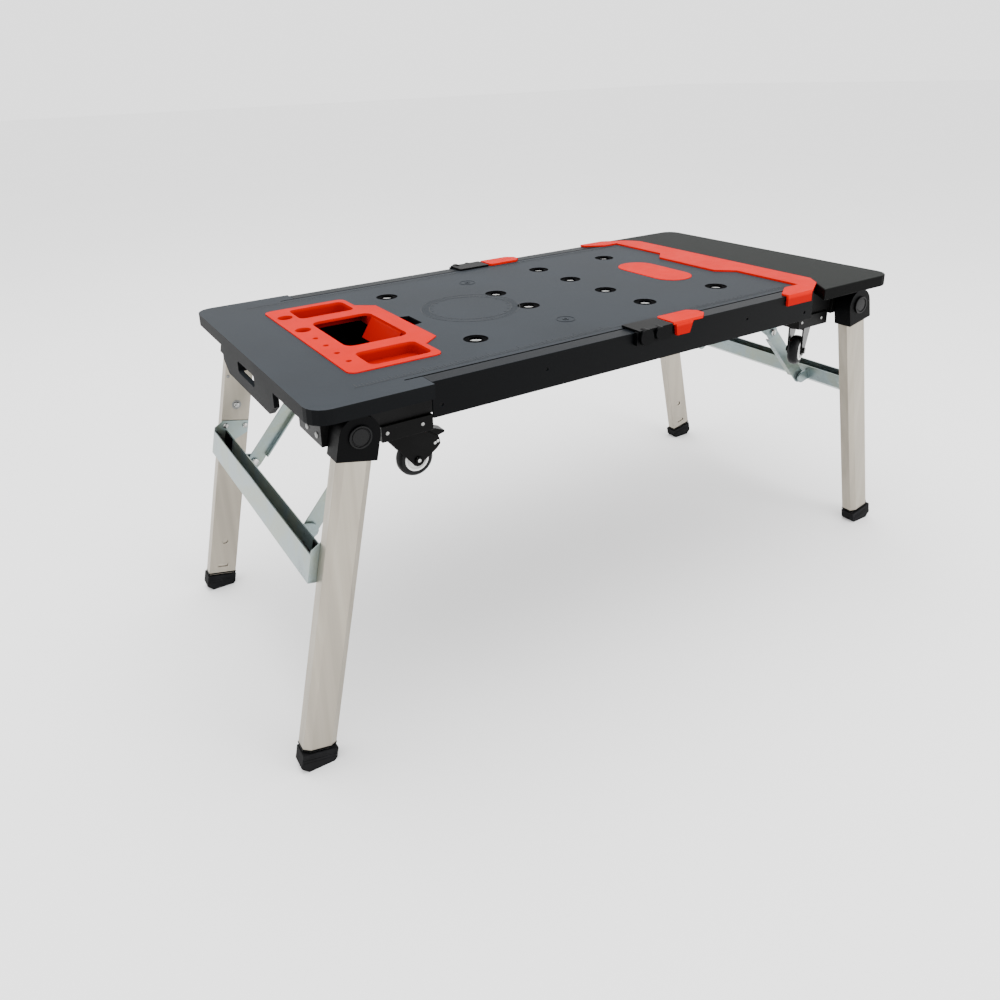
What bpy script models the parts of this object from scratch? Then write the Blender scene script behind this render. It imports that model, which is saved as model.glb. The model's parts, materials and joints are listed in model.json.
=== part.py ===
"""Folding work platform bench: a clamping deck on two folding pairs of telescopic legs.

Metres, +Z up. X runs along the deck, Y across it, and the origin is on the floor under
the middle of the deck. Front is -Y, left is -X. The right end of the bench is the left
end turned half round, so each end is built once in the left end's coordinates, under an
empty that stands at the middle of the deck's top surface.
"""
import math

import bmesh
import bpy
from mathutils import Matrix, Vector

# Overall sizes
TABLE_LENGTH = 1.100
TABLE_WIDTH = 0.555
TABLE_HEIGHT = 0.520
GAP = 0.0003

# Deck panels: hollow mouldings with a skin, side walls and ribs
PANEL_DEPTH = 0.020
PANEL_SKIN = 0.004
PANEL_WALL = 0.004
PANEL_CORNER = 0.028
LEFT_END = 0.165
RIGHT_END = 0.147
CENTRE_GAP = 0.053
RIGHT_EAR = 0.184
GROOVE = 0.003
GROOVE_START = 0.025
APRON_HALF = 0.125
APRON_BELOW = 0.042
APRON_WALL = 0.008
HAND_HOLE_HALF = 0.040
HAND_HOLE_BELOW = 0.004
HAND_HOLE_HEIGHT = 0.019
FINGER_CUP_DEPTH = 0.024
FINGER_CUP_HALF = 0.060
FINGER_CUP_WALL = 0.003

# Side rails
RAIL_SETBACK = 0.009
RAIL_WIDTH = 0.025
RAIL_WALL = 0.003
RAIL_DEPTH = 0.050
LEDGE_REACH = 0.0145
LEDGE_GAP = 0.0012

# Dog holes and blind bosses, on one grid
DOG_RADIUS = 0.010
DOG_RING = 0.0185
DOG_RECESS = 0.0022
DOG_PITCH_X = 0.1637
DOG_PITCH_Y = 0.100
DOG_GRID_X = -0.247
DOG_CELLS = ((0, 1.5), (0, -1.5), (1, 0.5), (1, -0.5), (2, 1.5), (2, 0.5), (2, -0.5), (2, -1.5), (3, 1.5), (3, -1.5))

# Tool tray, lifted out of the left half of the deck
TRAY_INSET = 0.090
TRAY_LENGTH = 0.142
TRAY_BULGE_OUT = 0.029
TRAY_HALF = 0.182
TRAY_BULGE_HALF = 0.106
TRAY_RIM = 0.006
TRAY_PROUD = 0.0015
TRAY_FLANGE = 0.002
TRAY_DEPTH = 0.018
TRAY_FLOOR = 0.002
TRAY_POCKET = 0.062
TRAY_WINDOW = 0.150
TRAY_CUP_INSET = 0.020
TRAY_CUP_RADIUS = 0.0122
TRAY_LIFT_SLOT = 0.018
TRAY_GRIP_DROP = 0.034
TRAY_GRIP_SLOPE = 0.020
TRAY_SHELL = 0.003
WELL_HALF = 0.116
WELL_DROP = 0.052
WELL_WALL = 0.0025

# Oval cover
OVAL_INSET = 0.110
OVAL_HALF_X = 0.0375
OVAL_HALF_Y = 0.082
OVAL_THICK = 0.0025
OVAL_PROUD = 0.0010

# Cross trim between the centre panel and the right panel
TRIM_PROUD = 0.0033
TRIM_DEPTH = 0.018
TRIM_GRIP = 0.028
TRIM_GRIP_HALF = 0.072
TRIM_ARM_REACH = 0.123
TRIM_ARM_LENGTH = 0.060
TRIM_ARM_SLANT = 0.036
TRIM_TAB_DROP = 0.016
TRIM_TAB_THICK = 0.0045

# Rail bracket and sliding stop
BRACKET_START = -0.045
BRACKET_END = 0.020
BRACKET_THICK = 0.0115
BOSS_RADII = (0.0125, 0.0100)
BOSS_PLACES = ((-0.033, -0.0070), (-0.006, -0.0055))
STOP_START = 0.0235
STOP_END = 0.098
STOP_TAB_LENGTH = 0.036
STOP_TAB_DROP = 0.018
STOP_TAB_THICK = 0.0055

# Legs: splay, telescopic tubes with cut outer corners
LEG_INSET = 0.064
KNUCKLE_GAP = 0.002
SPLAY = math.radians(12.0)
LEG_CLEARANCE = 0.0037
LEG_WIDTH = 0.0486
LEG_DEPTH = 0.0240
LEG_CUT_X = 0.0095
LEG_CUT_Y = 0.0057
LEG_WALL = 0.0016
FOOT_HEIGHT = 0.0305
LEG_TOP = 0.018
INNER_GAP = 0.0006
INNER_WALL = 0.0020
INNER_TOP = 0.110
INNER_SHOWS = 0.0050
BUTTON_RADIUS = 0.0050
BUTTON_DROP = 0.123
BUTTON_PROUD = 0.0030
EXTENSION = 0.264
SLOT_RISE = 0.014
SLOT_HALF = 0.009
SLOT_HEIGHT = 0.006
FOOT_WIDTH = 0.051
FOOT_PLUG = 0.022

# Knuckles and the cross rod that they turn on
KNUCKLE_RADIUS = 0.028
KNUCKLE_WALL = 0.0040
KNUCKLE_SKIRT = 0.033
ROD_RADIUS = 0.0060
ROD_PLAY = 0.0004
CAP_RADIUS = 0.0155
CAP_THICK = 0.0030

# Cross channel between the legs of one end
CHANNEL_OUTER = 0.036
CHANNEL_INNER = 0.013
CHANNEL_TOP = 0.170
CHANNEL_DEPTH = 0.040
CHANNEL_INNER_DEPTH = 0.028
CHANNEL_SHEET = 0.0018
FLANGE_TOP = 0.152
FLANGE_SIDE = 0.0235
RIVET_RADIUS = 0.0042
RIVET_DROP = 0.161

# Knee stays: lower link on the channel, upper link on the frame
STAY_Y = 0.129
STAY_SHEET = 0.0025
STAY_HALF_WIDTH = 0.0125
STAY_LIP = 0.009
STAY_PIN = 0.0040
STAY_PLAY = 0.0004
STAY_FOOT_X = 0.005
STAY_FOOT_DROP = 0.188
LOWER_STAY = 0.148
UPPER_STAY = 0.1035
STAY_HEAD_INSET = 0.210
STAY_HEAD_BELOW = 0.012
LUG_SHEET = 0.0030

# Frame beams under the deck
BEAM_WIDTH = 0.042
BEAM_DEPTH = 0.040
BEAM_WALL = 0.0025
HEAD_LENGTH = 0.070
HEAD_INNER = 0.150
HEAD_BELOW = 0.018
HEAD_GAP = 0.0030
HEAD_WALL = 0.0045

# Casters
CASTER_INSET = 0.145
CASTER_Y = 0.208
BLOCK_LENGTH = 0.076
BLOCK_WIDTH = 0.050
BLOCK_HEIGHT = 0.0227
RACE_RADIUS = 0.0160
KINGPIN_RADIUS = 0.0050
CASTER_TRAIL = 0.0185
AXLE_BELOW = 0.045
WHEEL_RADIUS = 0.0265
WHEEL_WIDTH = 0.0190
FORK_SHEET = 0.0025
FORK_GAP = 0.0010
FORK_NOSE = 0.0270
AXLE_RADIUS = 0.0030
PEDAL_X = 0.0470
PEDAL_BELOW = 0.012
SWIVEL_REST = {"left_front": 0.0, "left_back": 172.0, "right_front": 24.0, "right_back": 200.0}
BRAKED = ("left_front", "left_back")

# Derived places
HALF_LENGTH = TABLE_LENGTH / 2
HALF_WIDTH = TABLE_WIDTH / 2
RAIL_OUTER = HALF_WIDTH - RAIL_SETBACK
RAIL_INNER = RAIL_OUTER - RAIL_WIDTH
CENTRE_EDGE = RAIL_INNER - GROOVE
LIP_END = LEFT_END - HALF_LENGTH
RIGHT_START = HALF_LENGTH - RIGHT_END
CENTRE_END = RIGHT_START - CENTRE_GAP
EAR_START = HALF_LENGTH - RIGHT_EAR
LEG_OUTER = RAIL_OUTER - RAIL_WALL - LEG_CLEARANCE
LEG_INNER = LEG_OUTER - LEG_DEPTH
PIVOT_X = HALF_LENGTH - LEG_INSET
PIVOT_DROP = PANEL_DEPTH + KNUCKLE_RADIUS + KNUCKLE_GAP
LEG_REACH = (TABLE_HEIGHT - PIVOT_DROP) / math.cos(SPLAY) - FOOT_HEIGHT
APRON_DROP = PANEL_DEPTH + APRON_BELOW
HAND_HOLE_TOP = PANEL_DEPTH + HAND_HOLE_BELOW
HAND_HOLE_BOTTOM = HAND_HOLE_TOP + HAND_HOLE_HEIGHT
TRAY_LEFT = TRAY_INSET - HALF_LENGTH
TRAY_RIGHT = TRAY_LEFT + TRAY_LENGTH
TRAY_BULGE = TRAY_RIGHT + TRAY_BULGE_OUT
TRAY_CUP_X = TRAY_LEFT + TRAY_CUP_INSET
OVAL_X = CENTRE_END - OVAL_INSET
TRIM_ARM_START = RIGHT_START - TRIM_ARM_REACH
TRIM_ARM_END = TRIM_ARM_START + TRIM_ARM_LENGTH
STAY_HEAD_X = STAY_HEAD_INSET - HALF_LENGTH
STAY_HEAD_DROP = PIVOT_DROP + STAY_HEAD_BELOW
HEAD_DROP = PIVOT_DROP + HEAD_BELOW
HEAD_OUTER = LEG_INNER - KNUCKLE_WALL - HEAD_GAP
CASTER_X = CASTER_INSET - HALF_LENGTH
BEAM_OUTER = RAIL_INNER - LEDGE_REACH - LEDGE_GAP
BEAM_INNER = BEAM_OUTER - BEAM_WIDTH
BEAM_BOTTOM = PANEL_DEPTH + GAP + BEAM_DEPTH
BLOCK_BOTTOM = BEAM_BOTTOM + BLOCK_HEIGHT
AXLE_DROP = BLOCK_BOTTOM + AXLE_BELOW
PEDAL_DROP = BLOCK_BOTTOM + PEDAL_BELOW
TRIM_TAB_FACE = RAIL_OUTER + GAP + TRIM_TAB_THICK
BRACKET_FACE = RAIL_OUTER + GAP + BRACKET_THICK
STOP_FACE = RAIL_OUTER + GAP + STOP_TAB_THICK
UPPER_STAY_Y = STAY_Y + STAY_SHEET + GAP * 2
LUG_Y = UPPER_STAY_Y + STAY_SHEET + GAP * 2
ROUND = 16

# Which way a flat outline faces: its own X, Y and thickness become these axes
FACING = {
    "top": Matrix.Identity(4),
    "side": Matrix(((1, 0, 0, 0), (0, 0, -1, 0), (0, 1, 0, 0), (0, 0, 0, 1))),
    "end": Matrix(((0, 0, 1, 0), (1, 0, 0, 0), (0, 1, 0, 0), (0, 0, 0, 1))),
}

COLOURS = {
    "deck_grey": ((0.085, 0.100, 0.120), 0.55, 0.0),
    "end_grey": ((0.080, 0.084, 0.084), 0.55, 0.0),
    "rail_black": ((0.012, 0.014, 0.018), 0.45, 0.0),
    "orange": ((0.900, 0.085, 0.030), 0.45, 0.0),
    "black_plastic": ((0.010, 0.011, 0.013), 0.50, 0.0),
    "frame_black": ((0.014, 0.014, 0.015), 0.40, 0.6),
    "aluminium": ((0.560, 0.520, 0.460), 0.38, 1.0),
    "inner_aluminium": ((0.600, 0.600, 0.590), 0.35, 1.0),
    "zinc": ((0.380, 0.460, 0.470), 0.35, 1.0),
    "rod_steel": ((0.350, 0.350, 0.360), 0.35, 1.0),
    "caster_black": ((0.012, 0.012, 0.013), 0.35, 0.5),
    "tyre_black": ((0.010, 0.010, 0.010), 0.60, 0.0),
    "foot_rubber": ((0.012, 0.012, 0.012), 0.85, 0.0),
    "button_steel": ((0.600, 0.600, 0.600), 0.20, 1.0),
}


def clear_scene():
    for thing in list(bpy.data.objects):
        bpy.data.objects.remove(thing, do_unlink=True)


def new_collection(name):
    collection = bpy.data.collections.new(name)
    bpy.context.scene.collection.children.link(collection)
    return collection


def material(name):
    made = bpy.data.materials.get(name)
    if made is None:
        colour, roughness, metallic = COLOURS[name]
        made = bpy.data.materials.new(name)
        made.use_nodes = True
        shader = made.node_tree.nodes["Principled BSDF"]
        shader.inputs["Base Color"].default_value = (*colour, 1.0)
        shader.inputs["Roughness"].default_value = roughness
        shader.inputs["Metallic"].default_value = metallic
        made.diffuse_color = (*colour, 1.0)
    return made


def empty(name, place, turn=(0.0, 0.0, 0.0), parent=None):
    """A frame that moving pieces hang from; it stands on their joint's axis."""
    made = bpy.data.objects.new(name, None)
    PARTS.objects.link(made)
    made.location = place
    made.rotation_euler = turn
    made.parent = parent
    return made


def add_object(name, mesh, parent, finish=None):
    made = bpy.data.objects.new(name, mesh)
    made.parent = parent
    if finish:
        mesh.materials.append(material(finish))
        PARTS.objects.link(made)
        made.data.shade_smooth()
        made.data.set_sharp_from_angle(angle=math.radians(35))
    else:
        made.hide_render = True
        made.display_type = "WIRE"
        CUTTERS.objects.link(made)
    return made


def flat_mesh(outlines, low, high, facing="top"):
    """A closed outline, with any holes, as a slab from low to high along its thickness."""
    curve = bpy.data.curves.new("outline", "CURVE")
    curve.dimensions = "2D"
    curve.fill_mode = "BOTH"
    curve.extrude = (high - low) / 2
    for outline in outlines:
        spline = curve.splines.new("POLY")
        spline.points.add(len(outline) - 1)
        for point, (x, y) in zip(spline.points, outline):
            point.co = (x, y, 0.0, 1.0)
        spline.use_cyclic_u = True
    guide = bpy.data.objects.new("outline", curve)
    bpy.context.scene.collection.objects.link(guide)
    graph = bpy.context.evaluated_depsgraph_get()
    mesh = bpy.data.meshes.new_from_object(guide.evaluated_get(graph))
    bpy.data.objects.remove(guide)
    bpy.data.curves.remove(curve)
    mesh.materials.clear()
    mesh.transform(FACING[facing] @ Matrix.Translation((0, 0, (low + high) / 2)))
    return tidy(mesh)


def tidy(mesh):
    shape = bmesh.new()
    shape.from_mesh(mesh)
    bmesh.ops.remove_doubles(shape, verts=shape.verts, dist=1e-6)
    bmesh.ops.recalc_face_normals(shape, faces=shape.faces)
    shape.to_mesh(mesh)
    shape.free()
    return mesh


def boxes_mesh(boxes):
    """Separate boxes in one mesh, each given by its lowest and highest corner."""
    shape = bmesh.new()
    for low, high in boxes:
        made = bmesh.ops.create_cube(shape, size=1.0)["verts"]
        size = [h - l for l, h in zip(low, high)]
        middle = [(h + l) / 2 for l, h in zip(low, high)]
        place = Matrix.Translation(middle) @ Matrix.Diagonal((*size, 1.0))
        bmesh.ops.transform(shape, matrix=place, verts=made)
    mesh = bpy.data.meshes.new("boxes")
    shape.to_mesh(mesh)
    shape.free()
    return mesh


def rods_mesh(rods, segments=ROUND):
    """Separate cylinders in one mesh, each from start to end with a radius."""
    shape = bmesh.new()
    for start, end, radius in rods:
        axis = Vector(end) - Vector(start)
        turn = axis.to_track_quat("Z", "Y").to_matrix().to_4x4()
        middle = (Vector(start) + Vector(end)) / 2
        made = bmesh.ops.create_cone(
            shape, cap_ends=True, segments=segments, radius1=radius, radius2=radius, depth=axis.length)["verts"]
        bmesh.ops.transform(shape, matrix=Matrix.Translation(middle) @ turn, verts=made)
    mesh = bpy.data.meshes.new("rods")
    shape.to_mesh(mesh)
    shape.free()
    return mesh


def combine(piece, mesh, operation):
    other = add_object(piece.name + "_" + operation.lower(), mesh, piece.parent)
    change = piece.modifiers.new(operation.lower(), "BOOLEAN")
    change.operation = operation
    change.solver = "EXACT"
    change.object = other
    return piece


def cut(piece, mesh):
    return combine(piece, mesh, "DIFFERENCE")


def join(piece, mesh):
    return combine(piece, mesh, "UNION")


def arc(centre, radius, start, end, steps):
    """Points on an arc, from start to end in degrees."""
    points = []
    for step in range(steps + 1):
        angle = math.radians(start + (end - start) * step / steps)
        points.append((centre[0] + radius * math.cos(angle), centre[1] + radius * math.sin(angle)))
    return points


def rounded_box(left, right, low, high, radius, steps=4):
    return (arc((right - radius, high - radius), radius, 0, 90, steps)
            + arc((left + radius, high - radius), radius, 90, 180, steps)
            + arc((left + radius, low + radius), radius, 180, 270, steps)
            + arc((right - radius, low + radius), radius, 270, 360, steps))


def link_outline(length, half_width, steps=6):
    """A strip with round ends, from the origin along +X."""
    return arc((0, 0), half_width, 90, 270, steps) + arc((length, 0), half_width, -90, 90, steps)


def mirrored(half):
    """A whole outline from its half at y > 0, listed from one end to the other."""
    return half + [(x, -y) for x, y in reversed(half)]


def corner_name(side, sign):
    front = (sign < 0) == (side == "left")
    return side + ("_front" if front else "_back")


def dog_places():
    return [(DOG_GRID_X + column * DOG_PITCH_X, row * DOG_PITCH_Y) for column, row in DOG_CELLS]


def tray_outline(inset=0.0):
    slope = TRAY_BULGE - TRAY_RIGHT
    half = TRAY_HALF - inset
    bulge_half = TRAY_BULGE_HALF - inset * 0.4
    left, right, bulge = TRAY_LEFT + inset, TRAY_RIGHT - inset, TRAY_BULGE - inset
    round_by = 0.012
    return mirrored([(bulge, bulge_half), (right, bulge_half + slope * 0.8)]
                    + arc((right - round_by, half - round_by), round_by, 0, 90, 3)
                    + arc((left + round_by, half - round_by), round_by, 90, 180, 3))


def trim_panel_edge(clearance=0.0):
    """The stepped edge that the centre panel and the cross trim share, at y > 0."""
    grip = CENTRE_END - TRIM_GRIP
    return [(CENTRE_END + clearance, TRIM_GRIP_HALF + TRIM_GRIP + clearance),
            (grip + clearance, TRIM_GRIP_HALF + clearance * 0.4)]


def build_deck_panel():
    left = -HALF_LENGTH
    slot = LIP_END - GROOVE_START
    half = (trim_panel_edge(-GAP)[::-1]
            + [(CENTRE_END - GAP, CENTRE_EDGE), (slot, CENTRE_EDGE), (slot, RAIL_INNER), (LIP_END, RAIL_INNER),
               (LIP_END, HALF_WIDTH)]
            + arc((left + PANEL_CORNER, HALF_WIDTH - PANEL_CORNER), PANEL_CORNER, 90, 180, 5))
    panel = add_object("deck_panel", flat_mesh([mirrored(half)], -PANEL_DEPTH, 0.0), DECK, "deck_grey")
    apron = [(-APRON_HALF, -PANEL_DEPTH / 2), (APRON_HALF, -PANEL_DEPTH / 2),
             (APRON_HALF, -APRON_DROP * 0.72), (APRON_HALF * 0.8, -APRON_DROP),
             (-APRON_HALF * 0.8, -APRON_DROP), (-APRON_HALF, -APRON_DROP * 0.72)]
    face = left + 0.002
    join(panel, flat_mesh([apron], face, face + APRON_WALL, "end"))
    hand_hole = rounded_box(-HAND_HOLE_HALF, HAND_HOLE_HALF, -HAND_HOLE_BOTTOM, -HAND_HOLE_TOP, 0.005, 3)
    cut(panel, flat_mesh([hand_hole], face - 0.01, face + APRON_WALL + 0.002, "end"))
    cut(panel, boxes_mesh(panel_pockets()))
    cup = face + APRON_WALL + FINGER_CUP_DEPTH
    low, top = -HAND_HOLE_BOTTOM - 0.006, -PANEL_SKIN + 0.001
    join(panel, boxes_mesh([((cup, -FINGER_CUP_HALF, low), (cup + FINGER_CUP_WALL, FINGER_CUP_HALF, top))]))
    for sign in (-1, 1):
        near, far = sorted((sign * (FINGER_CUP_HALF - 0.0005), sign * (FINGER_CUP_HALF - 0.0035)))
        join(panel, boxes_mesh([((face + APRON_WALL / 2, near, low + 0.001), (cup + 0.001, far, top - 0.0005))]))
    cut(panel, flat_mesh([tray_outline(-GAP)], -TRAY_FLANGE, 0.01))
    cut(panel, flat_mesh([tray_outline(TRAY_RIM - GAP * 2)], -0.03, -TRAY_FLANGE / 2))
    lift = [(TRAY_BULGE - 0.010, -0.036), (TRAY_BULGE + TRAY_LIFT_SLOT, -0.028),
            (TRAY_BULGE + TRAY_LIFT_SLOT, 0.018), (TRAY_BULGE - 0.010, 0.026)]
    cut(panel, flat_mesh([lift], -0.03, 0.01))
    oval = oval_outline(-GAP)
    cut(panel, flat_mesh([oval], -OVAL_THICK - GAP, 0.01))
    cut(panel, rods_mesh([((x, y, -DOG_RECESS), (x, y, 0.01), DOG_RING) for x, y in dog_places()], 20))
    cut(panel, rods_mesh([((x, y, -0.03), (x, y, 0.005), DOG_RADIUS) for x, y in dog_places()]))


def panel_pockets():
    """Hollows under the panel, between its ribs; each is a box open at the bottom."""
    low, high = -0.03, -PANEL_SKIN
    rib = PANEL_WALL / 2
    edge = CENTRE_EDGE - PANEL_WALL
    tray_wall = TRAY_BULGE + TRAY_LIFT_SLOT + PANEL_WALL
    columns = [(tray_wall, -0.162), (-0.162, 0.0), (0.0, 0.162), (0.162, OVAL_X - OVAL_HALF_X - 0.006)]
    rows = [(-edge - rib, -DOG_PITCH_Y), (-DOG_PITCH_Y, 0.0), (0.0, DOG_PITCH_Y), (DOG_PITCH_Y, edge + rib)]
    boxes = []
    for start, end in columns:
        for near, far in rows:
            boxes.append(((start + rib, near + rib, low), (end - rib, far - rib, high)))
    grip = CENTRE_END - TRIM_GRIP - 0.010
    for near, far in (rows[0], rows[3]):
        boxes.append(((columns[3][1] + rib, near + rib, low), (grip, far - rib, high)))
    boxes.append(((-HALF_LENGTH + 0.014, -HALF_WIDTH + 0.012, low),
                  (TRAY_LEFT - PANEL_WALL, HALF_WIDTH - 0.012, high)))
    return boxes


def oval_outline(inset=0.0):
    radius = OVAL_HALF_X - inset
    reach = OVAL_HALF_Y - OVAL_HALF_X
    return (arc((OVAL_X, reach), radius, 0, 180, 10) + arc((OVAL_X, -reach), radius, 180, 360, 10))


def build_oval_cover():
    add_object("oval_cover", flat_mesh([oval_outline(0.0)], -OVAL_THICK, OVAL_PROUD), DECK, "orange")


def trim_outer_edge(clearance=0.0):
    """The outer edge of the cross trim, at y > 0, that the right panel follows."""
    return [(RIGHT_START - GAP + clearance, HALF_WIDTH * 0.79),
            (RIGHT_START - 0.018 + clearance, HALF_WIDTH * 0.885)]


def build_cross_trim():
    """Bar between the panels, with an arm over each rail and a tab down its face."""
    arm_inner = RAIL_INNER - 0.008
    top = mirrored([*trim_panel_edge(GAP)[::-1], (CENTRE_END + GAP, arm_inner),
                    (TRIM_ARM_START + TRIM_ARM_SLANT, arm_inner), (TRIM_ARM_START, TRIM_TAB_FACE - 0.014),
                    (TRIM_ARM_START, TRIM_TAB_FACE), (TRIM_ARM_END, TRIM_TAB_FACE), *trim_outer_edge()[::-1]])
    trim = add_object("cross_trim", flat_mesh([top], GAP, TRIM_PROUD), DECK, "orange")
    inset = 0.0005
    bar_end = CENTRE_EDGE + GROOVE / 2
    bar = mirrored([*trim_panel_edge(GAP + inset)[::-1], (CENTRE_END + GAP + inset, bar_end),
                    (RIGHT_START - 0.020, bar_end), (RIGHT_START - GAP - inset, HALF_WIDTH * 0.79)])
    join(trim, flat_mesh([bar], -TRIM_DEPTH, TRIM_PROUD / 2))
    for sign in (-1, 1):
        tab = sorted((sign * (RAIL_OUTER + GAP), sign * (TRIM_TAB_FACE - inset)))
        join(trim, boxes_mesh([((TRIM_ARM_START + inset, tab[0], -TRIM_TAB_DROP),
                                (TRIM_ARM_END - inset, tab[1], TRIM_PROUD / 2))]))


def build_right_panel():
    half = ([(x + GAP, y) for x, y in trim_outer_edge(GAP)]
            + [(EAR_START, HALF_WIDTH)]
            + arc((HALF_LENGTH - PANEL_CORNER, HALF_WIDTH - PANEL_CORNER), PANEL_CORNER, 90, 0, 5))
    half[1] = (half[1][0], half[1][1] + 0.004)
    panel = add_object("right_end_panel", flat_mesh([mirrored(half)], -PANEL_DEPTH, 0.0), DECK, "end_grey")
    low, high = -0.03, -PANEL_SKIN
    start, end = RIGHT_START + 0.008, HALF_LENGTH - 0.014
    inner = HALF_WIDTH - 0.030
    rib = PANEL_WALL / 2
    cut(panel, boxes_mesh([((start, -inner, low), (end, -rib, high)), ((start, rib, low), (end, inner, high))]))


def build_rail(name, sign):
    """Top strip, outer skirt, inner wall and the ledge that the centre panel lies on."""
    strip = 0.004
    ledge_top = PANEL_DEPTH + GAP
    inner_wall = RAIL_INNER + RAIL_WALL
    outline = [(RAIL_OUTER, 0.0), (RAIL_OUTER, -RAIL_DEPTH), (RAIL_OUTER - RAIL_WALL, -RAIL_DEPTH),
               (RAIL_OUTER - RAIL_WALL, -strip), (inner_wall, -strip), (inner_wall, -ledge_top - RAIL_WALL),
               (inner_wall - LEDGE_REACH - RAIL_WALL, -ledge_top - RAIL_WALL),
               (inner_wall - LEDGE_REACH - RAIL_WALL, -ledge_top), (RAIL_INNER, -ledge_top), (RAIL_INNER, 0.0)]
    outline = [(sign * y, z) for y, z in outline]
    add_object(name, flat_mesh([outline], LIP_END + GAP, CENTRE_END - GAP, "end"), DECK, "rail_black")


def build_rail_bracket(name, sign):
    """Cap over the rail with two screw bosses on its outer face."""
    inner = RAIL_INNER - 0.007
    top = 0.0040
    edge = BRACKET_FACE - 0.004
    cap = [(BRACKET_START, sign * inner), (BRACKET_END, sign * inner),
           (BRACKET_END, sign * edge), (BRACKET_START, sign * edge)]
    bracket = add_object(name, flat_mesh([cap], GAP, top), DECK, "black_plastic")
    plate = sorted((sign * (RAIL_OUTER + GAP), sign * (edge - 0.001)))
    join(bracket, boxes_mesh([((BRACKET_START - 0.004, plate[0], -0.018), (BRACKET_END - 0.001, plate[1], top / 2))]))
    for (x, z), radius in zip(BOSS_PLACES, BOSS_RADII):
        join(bracket, rods_mesh([((x, sign * (RAIL_OUTER + GAP * 2), z), (x, sign * BRACKET_FACE, z), radius)], 20))


def build_stop(name, sign):
    """Orange stop: a plate on the rail with a tab down its face; it slides along the rail."""
    slider = empty(name + "_slide", (STOP_START, 0, 0), parent=DECK)
    length = STOP_END - STOP_START
    inner, outer = sign * (RAIL_INNER - 0.008), sign * STOP_FACE
    plate = [(0.0, outer), (0.0, inner + sign * 0.004), (0.004, inner), (length - 0.012, inner),
             (length, inner + sign * 0.012), (length, outer - sign * 0.012), (length - 0.014, outer)]
    stop = add_object(name, flat_mesh([plate], GAP, 0.0045), slider, "orange")
    tab = sorted((sign * (RAIL_OUTER + GAP), outer - sign * 0.0005))
    start, end = 0.006, 0.006 + STOP_TAB_LENGTH
    side = [(start, 0.002), (start + 0.003, -STOP_TAB_DROP), (end - 0.007, -STOP_TAB_DROP), (end, 0.002)]
    join(stop, flat_mesh([side], -tab[1], -tab[0], "side"))


def build_tray():
    lifter = empty("tray_lift", (TRAY_LEFT, 0, 0), parent=DECK)
    shift = Matrix.Translation((-TRAY_LEFT, 0, 0))

    def moved(mesh):
        mesh.transform(shift)
        return mesh

    tray = add_object("tool_tray", moved(flat_mesh([tray_outline()], -TRAY_FLANGE + GAP, TRAY_PROUD)), lifter,
                      "orange")
    join(tray, moved(flat_mesh([tray_outline(TRAY_RIM)], -TRAY_DEPTH, 0.0)))
    right = TRAY_RIGHT - TRAY_RIM - 0.003
    left = TRAY_CUP_X + TRAY_CUP_RADIUS + 0.006
    end = TRAY_HALF - TRAY_RIM - 0.008
    for near, far in ((end - TRAY_POCKET, end), (-end, -end + TRAY_POCKET)):
        pocket = rounded_box(left, right, near, far, 0.010, 3)
        cut(tray, moved(flat_mesh([pocket], -TRAY_DEPTH + TRAY_FLOOR, 0.01)))
    window = rounded_box(left + 0.004, right + 0.010, -TRAY_WINDOW / 2, TRAY_WINDOW / 2, 0.014, 3)
    cut(tray, moved(flat_mesh([window], -0.03, 0.01)))
    # Hollow beside the window, and a sloped finger wall down its right side
    for sign in (-1, 1):
        near, far = sorted((sign * (TRAY_WINDOW / 2 - 0.010), sign * (end - TRAY_POCKET - TRAY_SHELL)))
        cut(tray, moved(boxes_mesh([((left + 0.005, near, -TRAY_DEPTH - 0.01), (right + 0.006, far, -TRAY_SHELL))])))
    edge = right + 0.010
    slope = [(edge + 0.003, -TRAY_SHELL), (edge - 0.0005, -TRAY_SHELL), (edge - TRAY_GRIP_SLOPE, -TRAY_GRIP_DROP),
             (edge - TRAY_GRIP_SLOPE + 0.004, -TRAY_GRIP_DROP), (edge + 0.003, -TRAY_DEPTH + 0.001)]
    join(tray, moved(flat_mesh([slope], -TRAY_WINDOW / 2 + 0.014, TRAY_WINDOW / 2 - 0.028, "side")))
    cups = [((TRAY_CUP_X, y, -TRAY_DEPTH + TRAY_FLOOR), (TRAY_CUP_X, y, 0.01), TRAY_CUP_RADIUS)
            for y in (0.046, 0.130)]
    holes = [((TRAY_CUP_X, -0.007 - 0.042 * step, -TRAY_DEPTH + TRAY_FLOOR),
              (TRAY_CUP_X, -0.007 - 0.042 * step, 0.01), 0.0042) for step in range(4)]
    cut(tray, moved(rods_mesh(cups + holes)))


def build_tool_well():
    """Open tub under the tray's window; its ends stand against the ribs around the tray."""
    left, right = TRAY_LEFT + 0.003, TRAY_BULGE + TRAY_LIFT_SLOT + PANEL_WALL * 0.7
    rim = -PANEL_DEPTH - GAP
    well = add_object("tool_well", boxes_mesh([((left, -WELL_HALF, -WELL_DROP), (right, WELL_HALF, rim))]), DECK,
                      "black_plastic")
    inside = rounded_box(left + WELL_WALL, right - WELL_WALL, -WELL_HALF + WELL_WALL, WELL_HALF - WELL_WALL, 0.008, 3)
    cut(well, flat_mesh([inside], -WELL_DROP + WELL_WALL, 0.0))


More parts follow.
